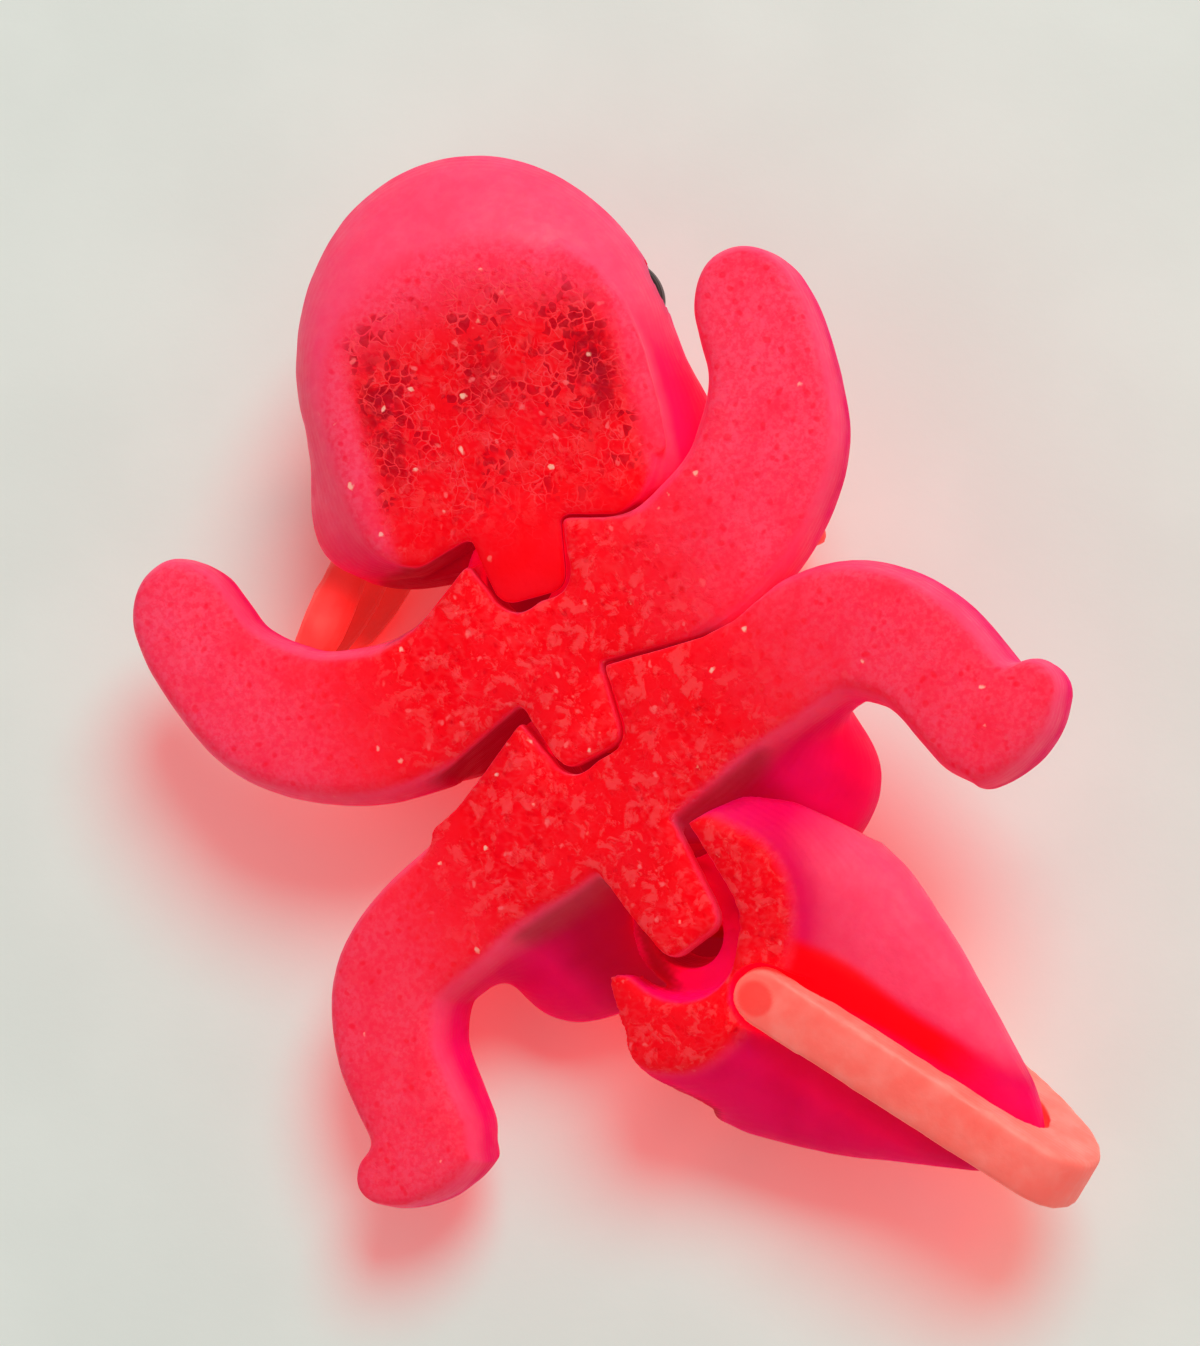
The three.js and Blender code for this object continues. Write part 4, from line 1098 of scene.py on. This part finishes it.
    # specks of white dust
    v = n.cells(1500.0, at=n.warped(2500.0, 0.0002))
    tone = n.add("ShaderNodeSeparateColor")
    n.link(v.outputs["Color"], tone.inputs[0])
    speck = n.math("MULTIPLY", n.span(v.outputs["Distance"], 0.22, 0.1), n.span(tone.outputs[0], 0.915, 0.935))
    colour = n.mix(n.math("MULTIPLY", n.math("MULTIPLY", speck, flat), 0.8), colour, linear(255, 214, 190))
    n.link(colour, b.inputs["Base Color"])
    n.link(n.span(n.noise(1100.0, 2.0), 0.3, 0.7, 0.45, 0.62), b.inputs["Roughness"])
    sheen = n.math("MULTIPLY", pale, n.span(flat, 0.1, 0.9, 1.0, 0.0))
    n.link(n.math("MULTIPLY_ADD", sheen, 0.28, 0.05), b.inputs["Specular IOR Level"])
    b.inputs["Subsurface Weight"].default_value = 1.0
    b.inputs["Subsurface Radius"].default_value = (1.0, 0.03, 0.07)
    b.inputs["Subsurface Scale"].default_value = 0.0025
    height = n.math("SUBTRACT", n.math("MULTIPLY", n.math("MULTIPLY", seam, crackle), 0.7), grain)
    height = n.math("ADD", height, n.math("SUBTRACT", n.math("MULTIPLY", flakes, 0.6), hollows))
    rind = n.bump(n.math("MULTIPLY", height, rough), 0.6, 0.0001, n.bump(n.noise(3600.0, 2.0, 0.6), 0.3, 0.00008))
    lines = n.bump(layer_lines(n, 0.00024), 0.12, 0.00003, rind)
    n.link(lines, b.inputs["Normal"])
    glowing(n, (1.2, 0.33, 0.36), (1.0, 0.002, 0.02), 0.2, 66.0)
    return n.m


def salmon_plastic():
    n = Nodes("salmon_plastic")
    b = n.bsdf
    colour = n.mix(n.span(n.noise(700.0, 3.0), 0.35, 0.7), linear(254, 124, 112), linear(255, 146, 134))
    colour = n.mix(n.span(n.noise(160.0, 2.0), 0.5, 0.75, 0.0, 0.3), colour, linear(250, 88, 82))
    colour = n.mix(n.math("MULTIPLY", n.mark("disc"), 0.8), colour, linear(246, 62, 56))
    colour = n.mix(n.math("MULTIPLY", n.mark("stalk"), n.span(n.noise(420.0, 2.0), 0.3, 0.7, 0.6, 0.85)), colour, linear(246, 66, 68))
    # painted shade: dark red towards the stalk's root
    colour = n.mix(n.math("MULTIPLY", n.mark("root"), 0.85), colour, linear(168, 4, 8))
    n.link(colour, b.inputs["Base Color"])
    n.link(n.span(n.noise(1200.0, 2.0), 0.3, 0.7, 0.4, 0.58), b.inputs["Roughness"])
    b.inputs["Specular IOR Level"].default_value = 0.3
    b.inputs["Subsurface Weight"].default_value = 1.0
    b.inputs["Subsurface Radius"].default_value = (1.0, 0.3, 0.25)
    b.inputs["Subsurface Scale"].default_value = 0.0016
    grain = n.bump(n.noise(2400.0, 3.0, 0.6), 0.3, 0.0001)
    lines = n.bump(layer_lines(n, 0.00024), 0.15, 0.00003, grain)
    n.link(lines, b.inputs["Normal"])
    glowing(n, (1.15, 0.45, 0.4), (1.0, 0.06, 0.05), 0.22, 62.0)
    return n.m


def pin_plastic():
    n = Nodes("pin_plastic")
    b = n.bsdf
    at = n.add("ShaderNodeTexCoord").outputs["Object"]
    colour = n.mix(n.span(n.noise(700.0, 3.0, at=at), 0.35, 0.7), linear(225, 2, 30), linear(244, 20, 50))
    n.link(colour, b.inputs["Base Color"])
    n.link(n.span(n.noise(1200.0, 2.0, at=at), 0.3, 0.7, 0.45, 0.62), b.inputs["Roughness"])
    b.inputs["Specular IOR Level"].default_value = 0.25
    n.link(n.bump(n.noise(2400.0, 3.0, 0.6, at), 0.3, 0.0001), b.inputs["Normal"])
    return n.m


def black_plastic():
    n = Nodes("black_plastic")
    b = n.bsdf
    colour = n.mix(n.span(n.noise(600.0, 2.0), 0.4, 0.7), linear(34, 2, 4), linear(58, 5, 8))
    n.link(colour, b.inputs["Base Color"])
    n.link(n.span(n.noise(900.0, 2.0), 0.3, 0.7, 0.26, 0.4), b.inputs["Roughness"])
    b.inputs["Specular IOR Level"].default_value = 0.2
    n.link(n.bump(layer_lines(n, 0.00024), 0.15, 0.00003), b.inputs["Normal"])
    return n.m


def floor_paper():
    n = Nodes("floor_paper")
    b = n.bsdf
    at = n.add("ShaderNodeTexCoord").outputs["Object"]
    colour = n.mix(n.span(n.noise(95.0, 3.0, at=at), 0.35, 0.7), linear(229, 234, 228), linear(233, 238, 232))
    n.link(colour, b.inputs["Base Color"])
    b.inputs["Roughness"].default_value = 0.85
    b.inputs["Specular IOR Level"].default_value = 0.2
    n.link(n.bump(n.noise(1400.0, 3.0, 0.6, at), 0.1, 0.0001), b.inputs["Normal"])
    return n.m


# ---------------------------------------------------------------- camera
def camera():
    # axes of the view in the row frame, and the eye
    lean, towards, heading = r_(25.0), r_(172.0), r_(122.5)
    belly = Vector((math.sin(lean) * math.cos(towards), math.sin(lean) * math.sin(towards), math.cos(lean)))
    ahead = Vector((math.cos(heading), math.sin(heading), 0.0))
    ahead.z = -ahead.dot(belly) / belly.z
    ahead.normalize()
    seen = Matrix((ahead.cross(-belly), ahead, -belly)).transposed()
    right, up, back = seen @ AT["rear_body"].to_3x3().transposed()
    ref = AT["rear_body"] @ Vector((0, -4.0, 0))
    dx, dy, dist, px = (674 - 600) / 25.6, -(914 - 673) / 25.6, 170.0, 25.6 * 170.0
    eye = ref - right * dx - up * dy + back * dist
    m = Matrix((right, up, back)).transposed().to_4x4()
    m.translation = eye * MM
    cam = bpy.data.objects.new("camera", bpy.data.cameras.new("camera"))
    cam.data.sensor_fit = "HORIZONTAL"
    cam.data.sensor_width = 36.0
    cam.data.lens = px * 36.0 / 1200.0
    cam.data.clip_start = 0.005
    cam.data.clip_end = 20.0
    bpy.context.scene.collection.objects.link(cam)
    cam.matrix_world = m
    bpy.context.scene.camera = cam


# ---------------------------------------------------------------- floor and light
def stage():
    me = bpy.data.meshes.new("floor")
    s = 3.0
    me.from_pydata([(-s, -s, 0), (s, -s, 0), (s, s, 0), (-s, s, 0)], [], [(0, 1, 2, 3)])
    o = bpy.data.objects.new("floor", me)
    o.data.materials.append(floor_paper())
    bpy.context.scene.collection.objects.link(o)

    def area(name, at, to, size, power, colour):
        light = bpy.data.lights.new(name, "AREA")
        light.shape = "DISK"
        light.size = size
        light.energy = power
        light.color = colour
        ob = bpy.data.objects.new(name, light)
        bpy.context.scene.collection.objects.link(ob)
        ob.location = at
        ob.rotation_euler = (Vector(to) - Vector(at)).to_track_quat("-Z", "Y").to_euler()

    area("key", (0.23, 0.37, 0.63), (0, 0, 0), 0.4, 4.25, (1.0, 0.99, 0.955))
    area("fill", (-0.5, -0.35, 0.7), (0, 0, 0), 0.8, 0.55, (0.97, 0.985, 1.0))
    world = bpy.data.worlds.new("studio")
    world.use_nodes = True
    bg = world.node_tree.nodes["Background"]
    bg.inputs[0].default_value = (1.0, 0.995, 0.975, 1)
    bg.inputs[1].default_value = 0.26
    bpy.context.scene.world = world
    bpy.context.scene.view_settings.view_transform = "Standard"


# ---------------------------------------------------------------- the figure
camera()
pink, salmon, black, pin = pink_plastic(), salmon_plastic(), black_plastic(), pin_plastic()
head(pink, salmon, black)
front_body(pink)
rear_body(pink)
tail(pink, salmon)
for name in ("neck_pin", "waist_pin", "tail_pin"):
    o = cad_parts[name]
    o.data.materials.clear()
    o.data.materials.append(pin)
stage()
